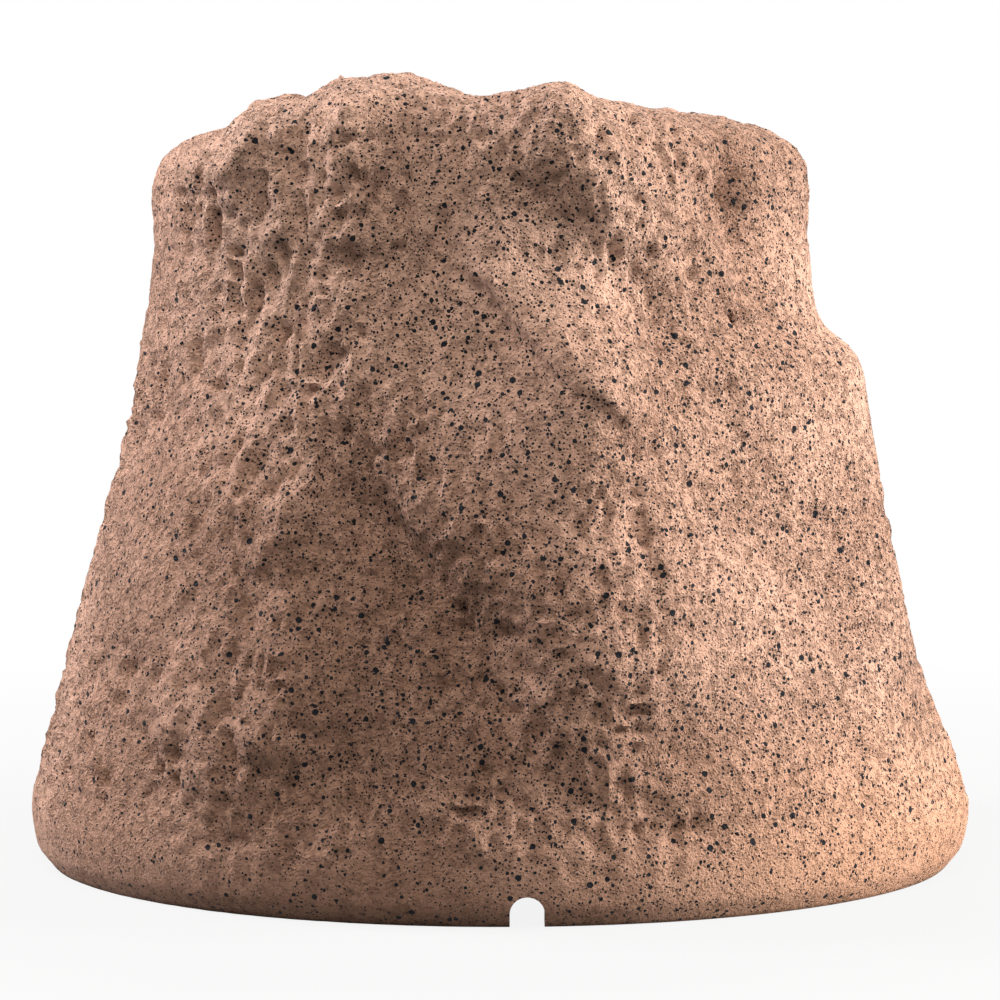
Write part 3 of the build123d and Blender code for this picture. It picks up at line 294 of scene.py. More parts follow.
def along_line(girth, climb, line):
    """Distance to a line of (bearing, climb) points, the side (1 on its right) and the share along it."""
    places = np.array([(math.radians(bearing) * GIRTH_RADIUS, height) for bearing, height in line])
    run_girth, run_climb = np.diff(places, axis=0).T
    off_girth, off_climb = girth[..., None] - places[:-1, 0], climb[..., None] - places[:-1, 1]
    share = (off_girth * run_girth + off_climb * run_climb) / (run_girth**2 + run_climb**2)
    share = np.clip(share, 0.0, 1.0)
    distance = np.hypot(off_girth - share * run_girth, off_climb - share * run_climb)
    side = np.sign(off_girth * run_climb - off_climb * run_girth)
    along = (np.arange(len(run_girth)) + share) / len(run_girth)
    nearest = distance.argmin(-1)[..., None]
    return (np.take_along_axis(values, nearest, -1)[..., 0] for values in (distance, side, along))


def line_ends(along):
    """Fade of a feature towards both ends of its line."""
    return soft_step(0.0, LINE_FADE, along) * soft_step(0.0, LINE_FADE, 1.0 - along)


def dents(girth, level, places):
    """Depth of oval dents: each falls off as exp(-across^2 - up^2) along its own turned axes."""
    total = 0.0
    for degrees, height, half_width, half_height, turn, depth in places:
        off_girth = girth - math.radians(degrees) * GIRTH_RADIUS
        off_climb = level - height
        cos, sin = math.cos(math.radians(turn)), math.sin(math.radians(turn))
        across = (off_girth * cos + off_climb * sin) / half_width
        up = (off_climb * cos - off_girth * sin) / half_height
        total = total + depth * np.exp(-(across**2) - up**2)
    return total


def crags(girth, level):
    """Height of the broken steps, ridges, hollows and swells over the plain rock.

    Above its line a step falls evenly to nothing at its reach, and below it stays low and then climbs back.
    A ridge falls off evenly from its line. The swells are waves that die away at both sides.
    """
    total = -dents(girth, level, HOLLOWS)
    bearing = girth / GIRTH_RADIUS
    corner = soft_step(*SCARP_CORNER, np.degrees(bearing))
    deepening = DROP_FOOT + (1 - DROP_FOOT) * soft_step(*DROP_RISE, level)
    for line, rise, rise_reach, drop, drop_reach, slope in SCARPS:
        distance, side, along = along_line(girth, level, line)
        share = 0.5 + 0.5 * np.tanh(side * distance / slope)
        above = rise * np.maximum(1 - distance / rise_reach, 0.0)
        below = drop * soft_step(drop_reach, SCARP_FLOOR * drop_reach, distance) * corner * deepening
        total += (share * above - (1 - share) * below) * line_ends(along)
    for line, height, half_width in RIDGES:
        distance, _, along = along_line(girth, level, line)
        total += height * np.maximum(1 - distance / half_width, 0.0) * line_ends(along)
    calm = 1 - np.sin(bearing) ** 4
    for height, waves, length, turn in SWELLS:
        total += calm * height * np.cos(waves * bearing + 2 * math.pi * level / length + math.radians(turn))
    return total * soft_step(*FORMS_RISE, level) * soft_step(*FORMS_FADE, level)


def grid_normals(points):
    """Outward unit normals of a grid whose columns close round and whose rows climb."""
    across = np.roll(points, -1, axis=1) - np.roll(points, 1, axis=1)
    up = np.gradient(points, axis=0)
    normal = np.cross(across, up)
    return normal / np.linalg.norm(normal, axis=-1, keepdims=True)


def signed(bearing):
    """Bearing past half a turn given as a negative one."""
    return np.where(bearing > math.pi, bearing - 2 * math.pi, bearing)


def folded(points, noise):
    """Sharp crests where a noise passes nought: a level less the size of the noise."""
    return FOLD_LEVEL - np.abs(fractal(points, *noise))


def weathering(plain, bearing, climb, warp):
    """Height of the small relief: the sum of runs, lumps and chips, times how rough the rock is there."""
    leftness = soft_step(*LEFT_SPAN, plain[..., 0])
    runs = folded(plain + np.stack([warp[0], warp[0], warp[1]], -1), RUN_NOISE)
    lumps = fractal(plain, *LUMP_NOISE)
    relief = leftness * RUN_HEIGHT * runs + (1 - LUMP_LEFT_LOSS * leftness) * LUMP_HEIGHT * lumps
    relief = relief + CHIP_HEIGHT * folded(plain, CHIP_NOISE)
    sides = 1 - SIDE_CALM * np.sin(bearing) ** 4
    wander = climb + RIM_WANDER * fractal(plain, *FOOT_NOISE)
    rim = RIM_RELIEF + (1 - RIM_RELIEF) * soft_step(*RIM_SPAN, wander)
    patchy = fractal(plain, *PATCH_NOISE) + PATCH_LEFT_GAIN * leftness
    patches = PATCH_LEAST + PATCH_GAIN * soft_step(*PATCH_SPAN, patchy)
    crest = 1 + CREST_GAIN * soft_step(*CREST_SPAN, climb)
    return relief * sides * rim * patches * crest


def weathered_rock(columns, rows, strength):
    """Grid of the finished rock and its relief: crags, small relief and marks stood off the plain rock.

    Columns crowd at the back: u from 0 to 1 gives the bearing 2 pi u less the crowding times sin(2 pi u).
    """
    share = np.arange(columns) / columns
    bearing = signed(2 * math.pi * share - COLUMN_CROWDING * np.sin(2 * math.pi * share))
    climb = np.linspace(0.0, CLIMB_TOP - TOP_GAP, rows)
    climb, bearing = np.meshgrid(climb, bearing, indexing="ij")
    plain = rock_skin(bearing, climb, 0.0, 0.0)
    warp = np.stack([fractal(plain, *WARP_GIRTH_NOISE), fractal(plain, *WARP_CLIMB_NOISE)]) * WARP
    girth, level = bearing * GIRTH_RADIUS + warp[0], climb + warp[1]
    craggy = rock_skin(bearing, climb, 0.0, crags(girth, level))
    relief = weathering(plain, bearing, climb, warp)
    stand_off = relief * strength - dents(girth, level, MARKS)
    points = craggy + grid_normals(plain) * stand_off[..., None]
    points[0, :, 2] = 0.0
    return points, relief


def unit_circle(count):
    """Points of a circle of radius 1 as (cosine, sine) of evenly spread angles."""
    angle = np.arange(count) * 2 * math.pi / count
    return np.stack([np.cos(angle), np.sin(angle)], axis=-1)


def driver_place(flat, out):
    """Points on the driver's front: flat (across, up) places moved out along its axis."""
    return SEAT + flat[..., :1] * ACROSS + flat[..., 1:] * UPRIGHT + out * OUTWARD


def turned_grid(profile, sides):
    """Closed grid from a profile of (radius, distance out) carried round the driver's axis."""
    radius, out = np.array(profile, float).T[:, :, None, None]
    return driver_place(radius * unit_circle(sides), out)


def oval_grid(rings, sides):
    """Grid of level ovals given as (half width, half depth, height)."""
    half_width, half_depth, height = np.array(rings, float).T[:, :, None]
    across, along = unit_circle(sides).T
    return np.stack(np.broadcast_arrays(half_width * across, half_depth * along, height), axis=-1)


def ring_faces(rows, columns):
    """Quads between closed rings, a fan over the last ring and a fan under the first.

    The fans' middles are numbered after the rings' points, the upper one first.
    """
    row, column = np.meshgrid(np.arange(rows - 1), np.arange(columns), indexing="ij")
    start, beside = row * columns + column, row * columns + (column + 1) % columns
    quads = np.stack([start, beside, beside + columns, start + columns], axis=-1).reshape(-1, 4)
    middle = np.full(columns, rows * columns)
    upper = np.stack([start[-1] + columns, beside[-1] + columns, middle], axis=-1)
    lower = np.stack([beside[0], start[0], middle + 1], axis=-1)
    return quads, upper, lower


def mesh_object(name, points, quads, triangles):
    """Object from points in millimetres, and quads and triangles as rows of vertex numbers."""
    mesh = bpy.data.meshes.new(name)
    mesh.from_pydata((points * MM).tolist(), [], quads.tolist() + triangles.tolist(), shade_flat=False)
    mesh.validate()
    piece = bpy.data.objects.new(name, mesh)
    bpy.context.scene.collection.objects.link(piece)
    return piece


def closed_grid(name, grid):
    """Closed object from a grid of rings, with a fan to the middle at each end."""
    quads, upper, lower = ring_faces(*grid.shape[:2])
    points = np.concatenate([grid.reshape(-1, 3), [grid[-1].mean(0), grid[0].mean(0)]])
    return mesh_object(name, points, quads, np.concatenate([upper, lower]))


def cut(piece, tool):
    """Cut the tool from the piece, and delete the tool."""
    modifier = piece.modifiers.new("cut", "BOOLEAN")
    modifier.operation = "DIFFERENCE"
    modifier.solver = "MANIFOLD"
    modifier.object = tool
    depsgraph = bpy.context.evaluated_depsgraph_get()
    result = bpy.data.meshes.new_from_object(piece.evaluated_get(depsgraph))
    if len(result.polygons) == 0:
        raise RuntimeError(f"nothing is left of {piece.name} after {tool.name}")
    piece.modifiers.clear()
    old = piece.data
    piece.data = result
    result.name = piece.name
    bpy.data.meshes.remove(old)
    bpy.data.objects.remove(tool)


def shade(piece, degrees):
    """Smooth shading with crisp edges where faces meet at more than the angle."""
    piece.data.shade_smooth()
    piece.data.set_sharp_from_angle(angle=math.radians(degrees))


def finish_piece(piece, slot, material, *nodes):
    """Dress the piece, set it on the cabinet and let it stand for its solids."""
    piece.data.materials.clear()
    piece.data.materials.append(material)
    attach(piece, BODY)
    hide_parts(*nodes)


# Kinds of group sockets
VALUE, COLOUR, VECTOR = "NodeSocketFloat", "NodeSocketColor", "NodeSocketVector"
# Colour sockets of a Mix node: factor, first and second, and the result
MIX_INPUTS = (0, 6, 7)
MIX_RESULT = 2
# Smallest flake as a share of the largest in its layer
SMALLEST_FLAKE = 0.4
# Cloudy noise of the shared grain, and the part of it that counts
GRAIN_NOISE = {"Detail": 4.0, "Roughness": 0.6}
GRAIN_SPAN = (0.3, 0.7)


def new_group(name, inputs, outputs):
    """Shader node group, with the sockets that it is given and those of its result."""
    group = bpy.data.node_groups.new(name, "ShaderNodeTree")
    for label, kind, default in inputs:
        socket = group.interface.new_socket(label, in_out="INPUT", socket_type=kind)
        if default is not None:
            socket.default_value = default
    for label, kind in outputs:
        group.interface.new_socket(label, in_out="OUTPUT", socket_type=kind)
    return group, group.nodes.new("NodeGroupInput").outputs, group.nodes.new("NodeGroupOutput").inputs


def add_node(tree, kind, inputs=None, **settings):
    """Node with its settings, and each input linked to a socket or set to a plain value."""
    node = tree.nodes.new(kind)
    for key, value in settings.items():
        setattr(node, key, value)
    for key, source in (inputs or {}).items():
        if isinstance(source, bpy.types.NodeSocket):
            tree.links.new(source, node.inputs[key])
        else:
            node.inputs[key].default_value = source
    return node


def math_node(tree, operation, first, second=0.0):
    """Result of a Math node on one or two sockets or numbers."""
    return add_node(tree, "ShaderNodeMath", {0: first, 1: second}, operation=operation).outputs[0]


def product(tree, first, *others):
    """Product of several sockets and numbers."""
    for other in others:
        first = math_node(tree, "MULTIPLY", first, other)
    return first


def mix_colour(tree, factor, first, second):
    """Colour mixed from the first to the second by the factor."""
    inputs = dict(zip(MIX_INPUTS, (factor, first, second)))
    return add_node(tree, "ShaderNodeMix", inputs, data_type="RGBA").outputs[MIX_RESULT]


def span(tree, value, low, high, to_low=0.0, to_high=1.0):
    """Value moved from one span to another and kept within it."""
    inputs = dict(enumerate((value, low, high, to_low, to_high)))
    return add_node(tree, "ShaderNodeMapRange", inputs).outputs[0]


def spans(tree, sources, rows):
    """Product of several spans, each a row of the source that it follows and its limits."""
    return product(tree, *(span(tree, sources[source], *limits) for source, *limits in rows))


def speck_group():
    """Flakes: one cell of a scattered pattern holds one flake, if its random number is under the share."""
    group, given, result = new_group(
        "Flakes",
        [("Vector", VECTOR, None), ("Scale", VALUE, 300.0), ("Share", VALUE, 0.4), ("Size", VALUE, 0.3)],
        [("Mask", VALUE)],
    )
    cells = add_node(group, "ShaderNodeTexVoronoi", {"Vector": given["Vector"], "Scale": given["Scale"]},
                     feature="F1", distance="EUCLIDEAN")
    random = add_node(group, "ShaderNodeSeparateColor", {0: cells.outputs["Color"]}).outputs
    held = math_node(group, "LESS_THAN", random[0], given["Share"])
    radius = product(group, given["Size"], span(group, random[1], 0.0, 1.0, SMALLEST_FLAKE, 1.0))
    body = math_node(group, "LESS_THAN", cells.outputs["Distance"], radius)
    group.links.new(product(group, body, held), result["Mask"])
    return group


def grain_group():
    """Grain: cloudy noise on object coordinates that moves colour, roughness and height together."""
    group, given, result = new_group(
        "Grain",
        [("Dark", COLOUR, None), ("Light", COLOUR, None), ("Scale", VALUE, 400.0),
         ("Smooth", VALUE, 0.4), ("Dull", VALUE, 0.6)],
        [("Color", COLOUR), ("Roughness", VALUE), ("Height", VALUE)],
    )
    place = add_node(group, "ShaderNodeTexCoord").outputs["Object"]
    inputs = {"Vector": place, "Scale": given["Scale"], **GRAIN_NOISE}
    noise = add_node(group, "ShaderNodeTexNoise", inputs).outputs["Fac"]
    colour = mix_colour(group, span(group, noise, *GRAIN_SPAN), given["Dark"], given["Light"])
    rough = span(group, noise, *GRAIN_SPAN, given["Smooth"], given["Dull"])
    group.links.new(colour, result["Color"])
    group.links.new(rough, result["Roughness"])
    group.links.new(noise, result["Height"])
    return group


def new_material(name):
    """New material, with its node tree and its Principled shader."""
    material = bpy.data.materials.new(name)
    material.use_nodes = True
    tree = material.node_tree
    return material, tree, tree.nodes["Principled BSDF"]


def dress_shader(tree, shader, colour, rough, height, depth):
    """Feed a shader its colour, its roughness and a bump of that height and depth."""
    bump = add_node(tree, "ShaderNodeBump", {"Height": height, "Strength": 1.0, "Distance": depth})
    for label, source in ("Base Color", colour), ("Roughness", rough), ("Normal", bump.outputs[0]):
        tree.links.new(source, shader.inputs[label])


# Noises of the stone, with their scales per metre
STONE_NOISES = {
    "clouds": {"Scale": 20.0, "Detail": 3.0},
    "grain": {"Scale": 300.0, "Detail": 4.0, "Roughness": 0.72},
    "sand": {"Scale": 950.0, "Detail": 2.0, "Roughness": 0.7},
}
CLOUD_SPAN = (0.35, 0.65)
# Ochre tint, painted shade and painted light: sources with where each starts and is full, axes in metres, then
# strength and colour
TINTS_AND_PAINTED_LIGHT = [
    # Painted shade: darker in the hollows of the relief and in the low spots of the grain and sand
    ([("relief", -0.3, -2.0)], 0.3, "painted_shade_stone"),
    ([("grain", 0.46, 0.3)], 0.6, "painted_shade_stone"),
    ([("sand", 0.47, 0.27)], 0.9, "painted_shade_stone"),
    # Painted highlight: lighter on the high spots of the sand
    ([("sand", 0.53, 0.7)], 0.75, "painted_light_stone"),
    ([("z", 0.075, 0.02), ("x", 0.0, 0.12)], 0.5, "ochre"),
    # Painted shade: darker low in the middle of the back, where the recessed face lies
    ([("aside", 0.13, 0.03), ("y", 0.0, -0.06), ("z", 0.19, 0.09)], 0.6, "painted_shade_stone"),
    # Painted light: lighter high on the left of the back
    ([("z", 0.14, 0.21), ("x", 0.05, -0.01), ("y", -0.02, -0.07)], 0.4, "painted_light_stone"),
]
# The source aside is the distance along x from here
ASIDE_FROM = -0.04
# Patches of painted shade and painted light in metres: middle, radius, strength and colour, full in a share of the
# radius
PAINTED_PATCHES = [
    ((0.038, -0.128, 0.046), 0.045, 0.5, "painted_shade_stone"),
    ((0.078, -0.07, 0.25), 0.06, 0.5, "painted_shade_stone"),
    ((-0.06, -0.13, 0.09), 0.05, 0.25, "painted_shade_stone"),
    ((0.027, -0.09, 0.235), 0.045, 0.6, "painted_light_stone"),
    ((-0.09, -0.08, 0.235), 0.05, 0.4, "painted_light_stone"),
]
PAINTED_PATCH_CORE = 0.2
# Flake layers: cells per metre, share of the cells that hold a flake, and flake radius in cell widths
FLAKE_LAYERS = [(200.0, 0.85, 0.24), (420.0, 1.15, 0.31), (900.0, 1.3, 0.37)]
# Where flakes are dense: what it follows, its span and the density at both ends
FLAKE_DENSITY = [("clouds", 0.3, 0.7, 0.75, 1.2), ("z", 0.02, 0.05, 0.55, 1.0), ("x", -0.12, 0.0, 0.5, 1.0)]
# Shake of the flakes' edges and its reach in metres, and the turn of their pattern
FLAKE_SHAKE = {"Scale": 900.0, "Detail": 1.0}
FLAKE_SHAKE_REACH = 0.0006
FLAKE_TURN = (0.6, 0.4, 0.9)
# Roughness of stone and flake, and the stone's weak shine
STONE_ROUGHNESS = (0.95, 0.7)
STONE_SHINE = 0.15
# Fine surface: level at which the grain creases, share of the sand, and where it is calm
CREASE_LEVEL = 0.5
SAND_HEIGHT = 0.4
GRAIN_STRENGTH = [("z", 0.005, 0.035, 0.45, 1.0), ("clouds", 0.4, 0.6, 1.35, 0.8)]


def stone_sources(tree):
    """Sockets that the stone's patterns follow: place, axes, cast relief and three noises."""
    place = add_node(tree, "ShaderNodeTexCoord").outputs["Object"]
    x, y, z = add_node(tree, "ShaderNodeSeparateXYZ", {0: place}).outputs
    aside = math_node(tree, "ABSOLUTE", math_node(tree, "SUBTRACT", x, ASIDE_FROM))
    relief = add_node(tree, "ShaderNodeAttribute", attribute_name="relief").outputs["Fac"]
    sources = {"place": place, "x": x, "y": y, "z": z, "aside": aside, "relief": relief}
    for name, values in STONE_NOISES.items():
        sources[name] = add_node(tree, "ShaderNodeTexNoise", {"Vector": place, **values}).outputs["Fac"]
    return sources


def stone_colour(tree, rock, sources):
    """Clouded stone, then an ochre tint, painted shade and painted light, and patches of painted shade and light,
    each mixed over the last.
    """
    clouds = span(tree, sources["clouds"], *CLOUD_SPAN)
    colour = mix_colour(tree, clouds, rock.dark_stone[:], rock.light_stone[:])
    for rows, strength, tint in TINTS_AND_PAINTED_LIGHT:
        share = product(tree, spans(tree, sources, rows), strength)
        colour = mix_colour(tree, share, colour, getattr(rock, tint)[:])
    for middle, radius, strength, tint in PAINTED_PATCHES:
        inputs = {0: sources["place"], 1: middle}
        away = add_node(tree, "ShaderNodeVectorMath", inputs, operation="DISTANCE").outputs["Value"]
        share = span(tree, away, radius, PAINTED_PATCH_CORE * radius, 0.0, strength)
        colour = mix_colour(tree, share, colour, getattr(rock, tint)[:])
    return colour


def flake_mask(tree, cover, sources, flakes):
    """1 on a flake of any layer, with fewer of them where their density is low."""
    place = sources["place"]
    shake = add_node(tree, "ShaderNodeTexNoise", {"Vector": place, **FLAKE_SHAKE}).outputs["Color"]
    bent = add_node(tree, "ShaderNodeVectorMath", {0: shake, "Scale": FLAKE_SHAKE_REACH}, operation="SCALE")
    moved = add_node(tree, "ShaderNodeVectorMath", {0: place, 1: bent.outputs[0]}, operation="ADD")
    turned = add_node(tree, "ShaderNodeVectorRotate", {"Vector": moved.outputs[0], "Rotation": FLAKE_TURN},
                      rotation_type="EULER_XYZ").outputs[0]
    density = spans(tree, sources, FLAKE_DENSITY)
    mask = 0.0
    for scale, share, size in FLAKE_LAYERS:
        held = product(tree, density, share * cover)
        inputs = {"Vector": turned, "Scale": scale, "Share": held, "Size": size}
        layer = add_node(tree, "ShaderNodeGroup", inputs, node_tree=flakes)
        mask = math_node(tree, "MAXIMUM", mask, layer.outputs["Mask"])
    return mask


def stone_height(tree, sources):
    """Height of the fine surface: grain and sand, less the grain's distance from its crease level."""
    creases = math_node(tree, "ABSOLUTE", math_node(tree, "SUBTRACT", sources["grain"], CREASE_LEVEL))
    height = math_node(tree, "ADD", sources["grain"], product(tree, sources["sand"], SAND_HEIGHT))
    height = math_node(tree, "SUBTRACT", height, creases)
    return product(tree, height, spans(tree, sources, GRAIN_STRENGTH))


def stone_material(rock, flakes):
    """Cast sandstone: clouded brown, dark flakes of three sizes and a pitted surface."""
    material, tree, shader = new_material("cast_sandstone")
    sources = stone_sources(tree)
    mask = flake_mask(tree, rock.flake_cover, sources, flakes)
    colour = mix_colour(tree, mask, stone_colour(tree, rock, sources), rock.flake[:])
    rough = span(tree, mask, 0.0, 1.0, *STONE_ROUGHNESS)
    dress_shader(tree, shader, colour, rough, stone_height(tree, sources), rock.grain_depth)
    shader.inputs["Specular IOR Level"].default_value = STONE_SHINE
    return material


# All finishes but the stone: dark and light colour, grain per metre, least and most roughness, metallic, bump
FINISHES = {
    "grille_steel": ((0.028, 0.02, 0.015), (0.052, 0.038, 0.03), 900.0, 0.5, 0.7, 0.0, 8e-5),
    "screw_steel": ((0.42, 0.42, 0.42), (0.6, 0.6, 0.6), 700.0, 0.22, 0.4, 1.0, 3e-5),
    "baffle_board": ((0.012, 0.012, 0.013), (0.024, 0.024, 0.026), 600.0, 0.5, 0.7, 0.0, 0.0001),
    "black_rubber": ((0.01, 0.01, 0.01), (0.022, 0.022, 0.022), 500.0, 0.6, 0.8, 0.0, 6e-5),
    "basket_steel": ((0.012, 0.012, 0.013), (0.026, 0.026, 0.028), 800.0, 0.35, 0.5, 0.0, 5e-5),
    "cone_pulp": ((0.012, 0.012, 0.013), (0.034, 0.034, 0.036), 1400.0, 0.65, 0.85, 0.0, 0.00016),
    "former_film": ((0.55, 0.55, 0.56), (0.75, 0.75, 0.76), 600.0, 0.3, 0.45, 1.0, 3e-5),
    "copper_wire": ((0.45, 0.16, 0.06), (0.72, 0.3, 0.13), 1200.0, 0.25, 0.4, 1.0, 0.0001),
    "spider_cloth": ((0.24, 0.15, 0.05), (0.42, 0.29, 0.12), 1500.0, 0.75, 0.9, 0.0, 0.0002),
    "plated_steel": ((0.36, 0.36, 0.34), (0.52, 0.52, 0.49), 500.0, 0.3, 0.48, 1.0, 4e-5),
    "ferrite": ((0.012, 0.012, 0.012), (0.03, 0.03, 0.031), 450.0, 0.45, 0.7, 0.0, 0.00012),
    "black_plastic": ((0.01, 0.01, 0.01), (0.02, 0.02, 0.02), 700.0, 0.35, 0.5, 0.0, 5e-5),
    "dome_film": ((0.2, 0.2, 0.21), (0.32, 0.32, 0.33), 900.0, 0.22, 0.35, 1.0, 2e-5),
    "floor_board": ((0.018, 0.016, 0.015), (0.036, 0.033, 0.03), 300.0, 0.5, 0.75, 0.0, 0.00014),
    "circuit_board": ((0.008, 0.06, 0.02), (0.016, 0.1, 0.035), 240.0, 0.3, 0.45, 0.0, 4e-5),
    "film_capacitor": ((0.5, 0.33, 0.02), (0.62, 0.44, 0.05), 300.0, 0.25, 0.35, 0.0, 4e-5),
    "cement_resistor": ((0.55, 0.54, 0.48), (0.68, 0.67, 0.62), 800.0, 0.8, 0.95, 0.0, 0.0001),
    "terminal_green": ((0.01, 0.09, 0.04), (0.02, 0.14, 0.06), 500.0, 0.3, 0.45, 0.0, 4e-5),
    "nylon": ((0.012, 0.012, 0.012), (0.024, 0.024, 0.024), 600.0, 0.4, 0.6, 0.0, 6e-5),
    "lead_cover": ((0.1, 0.008, 0.008), (0.16, 0.014, 0.012), 500.0, 0.4, 0.55, 0.0, 4e-5),
}


def finish_material(slot, grain):
    """Material of one finish from its row of values, with the shared grain."""
    dark, light, scale, smooth, dull, metallic, depth = FINISHES[slot]
    material, tree, shader = new_material(slot)
    inputs = {"Dark": (*dark, 1.0), "Light": (*light, 1.0), "Scale": scale, "Smooth": smooth, "Dull": dull}
    colour, rough, height = add_node(tree, "ShaderNodeGroup", inputs, node_tree=grain).outputs
    dress_shader(tree, shader, colour, rough, height, depth)
    shader.inputs["Metallic"].default_value = metallic
    return material


def shared_group(name, build):
    """Node group of that name, built on its first use."""
    return bpy.data.node_groups.get(name) or build()


def shared_finish(slot):
    """Material of that slot, built on its first use."""
    return bpy.data.materials.get(slot) or finish_material(slot, shared_group("Grain", grain_group))


# Settings that a user would change
class RockSettings(bpy.types.PropertyGroup):
    """Cast rock: wall, grid and stone."""

    wall: FloatProperty(name="Wall", description="Thickness of the cast wall", default=0.007, unit="LENGTH")
    columns: IntProperty(name="Columns", description="Grid columns round the rock", default=400)
    rows: IntProperty(name="Rows", description="Grid rows up the rock", default=205)
    relief: FloatProperty(name="Relief", description="Strength of the lumps and chips", default=1.0)
    grain_depth: FloatProperty(
        name="Grain depth", description="Depth of the fine grain", default=0.004, unit="LENGTH")
    flake_cover: FloatProperty(
        name="Flake cover", description="How many dark flakes the stone holds", default=1.0)
    dark_stone: FloatVectorProperty(
        name="Dark stone", description="Darker cloud of the stone", subtype="COLOR", size=4,
        default=(0.42, 0.245, 0.172, 1.0))
    light_stone: FloatVectorProperty(
        name="Light stone", description="Lighter cloud of the stone", subtype="COLOR", size=4,
        default=(0.53, 0.325, 0.238, 1.0))
    # Painted light: colour mixed in for highlights on the sand and for the pale patches
    painted_light_stone: FloatVectorProperty(
        name="Bright stone", description="Tips of the grain and pale places", subtype="COLOR", size=4,
        default=(0.6, 0.385, 0.29, 1.0))
    # Painted shade: colour mixed in for the shade in pits and hollows and for the dark patches
    painted_shade_stone: FloatVectorProperty(
        name="Hollow stone", description="Stone down in the pits and stained places", subtype="COLOR", size=4,
        default=(0.23, 0.125, 0.082, 1.0))
    ochre: FloatVectorProperty(
        name="Ochre", description="Tint low on the right", subtype="COLOR", size=4,
        default=(0.48, 0.245, 0.135, 1.0))
    flake: FloatVectorProperty(
        name="Flake", description="Dark flakes in the stone", subtype="COLOR", size=4,
        default=(0.006, 0.007, 0.010, 1.0))


class GrilleSettings(bpy.types.PropertyGroup):
    """Perforated grille."""

    pitch: FloatProperty(name="Pitch", description="Distance between holes", default=0.0048, unit="LENGTH")
    hole: FloatProperty(name="Hole", description="Radius of a hole", default=0.0017, unit="LENGTH")


class StageSettings(bpy.types.PropertyGroup):
    """Floor and camera."""

    distance: FloatProperty(name="Distance", description="Camera to the rock", default=1.5, unit="LENGTH")
    eye_height: FloatProperty(
        name="Eye height", description="Camera over the floor", default=0.262, unit="LENGTH")
    aim_height: FloatProperty(
        name="Aim height", description="Height that the camera looks at", default=0.1295, unit="LENGTH")
    lens: FloatProperty(name="Lens", description="Focal length in millimetres", default=149.3)
    floor: FloatVectorProperty(
        name="Floor", description="Colour of the floor", subtype="COLOR", size=4,
        default=(0.2, 0.2, 0.2, 1.0))


# Sizes of the shell's openings, in millimetres
RIM_WIDTH = 9.0
LEDGE_WIDTH = 16.0
LEDGE_BOTTOM = 31.0
LEDGE_TOP = 41.0
POCKET_RADIUS = 92.0
COLLAR_WALL = 6.0
SEAT_WIDTH = 13.0
SEAT_THICKNESS = 16.0
NOTCH_WIDTH = 11.6
NOTCH_HEIGHT = 11.0
NOTCH_X = 9.0
NOTCH_STEPS = 17
CUT_ROOM = 40.0
CUT_OVERLAP = 1.0
# Deepest chip of the weathered skin, and how far its forms are moved about
CRAG_ROOM = 5.0
CRAG_SHIFT = 8.0
# Grid of the hollow, and how far short of the middle its rows end
HOLLOW_COLUMNS = 96
HOLLOW_ROWS = 40
HOLLOW_TOP_GAP = 8.0
# Sides of round cutters and of the collar, and angles in degrees past which an edge stays crisp
CUTTER_SIDES = 128
COLLAR_SIDES = 96
ROCK_CREASE = 62.0
GRILLE_CREASE = 40.0


def hollow_grid(wall):
    """Grid inside the wall, from the ledge to the middle of the top, under the deepest forms nearby."""
    bearing = signed(np.arange(HOLLOW_COLUMNS) * 2 * math.pi / HOLLOW_COLUMNS)
    climb = np.linspace(LEDGE_TOP, CLIMB_TOP - HOLLOW_TOP_GAP, HOLLOW_ROWS)
    climb, bearing = np.meshgrid(climb, bearing, indexing="ij")
    girth = bearing * GIRTH_RADIUS
    moves = [(0.0, 0.0), (CRAG_SHIFT, 0.0), (-CRAG_SHIFT, 0.0), (0.0, CRAG_SHIFT), (0.0, -CRAG_SHIFT)]
    deepest = np.min([crags(girth + across, climb + up) for across, up in moves], axis=0)
    return rock_skin(bearing, climb, wall + CRAG_ROOM, deepest)


def collar_grid():
    """Upright tube round the pocket, which keeps the hollow away from the baffle's seat."""
    radius = POCKET_RADIUS + COLLAR_WALL
    return turned_grid([(radius, -SEAT_THICKNESS), (radius, 2 * CUT_ROOM)], COLLAR_SIDES)


def underside_grid():
    """Oval opening under the rock: full inside the rim up to the ledge, and narrower through it."""
    full = (LEFT_EDGE[0][1] * WIDTH / 2 - RIM_WIDTH, REAR_EDGE[0][1] * DEPTH / 2 - RIM_WIDTH)
    narrow = (full[0] - LEDGE_WIDTH, full[1] - LEDGE_WIDTH)
    rings = [(*full, -RIM_WIDTH), (*full, LEDGE_BOTTOM),
             (*narrow, LEDGE_BOTTOM), (*narrow, LEDGE_TOP + CUT_OVERLAP)]
    return oval_grid(rings, CUTTER_SIDES)


def pocket_grid():
    """Round pocket for baffle and grille, with the narrower bore that leaves the baffle's seat."""
    bore = POCKET_RADIUS - SEAT_WIDTH
    profile = [(bore, -CUT_ROOM), (bore, 0), (POCKET_RADIUS, 0), (POCKET_RADIUS, 2 * CUT_ROOM)]
    return turned_grid(profile, CUTTER_SIDES)


def notch_grid():
    """Round-topped profile of the cable notch carried out through the back of the rim."""
    radius = NOTCH_WIDTH / 2
    arch = np.linspace(0.0, math.pi, NOTCH_STEPS)
    across = np.concatenate([radius * np.cos(arch), [-radius, radius]]) + NOTCH_X
    up = np.concatenate([NOTCH_HEIGHT - radius + radius * np.sin(arch), [-RIM_WIDTH, -RIM_WIDTH]])
    away = np.array([-DEPTH / 2 + CUT_ROOM, -DEPTH / 2 - CUT_ROOM])
    return np.stack(np.broadcast_arrays(across, away[:, None], up), axis=-1)


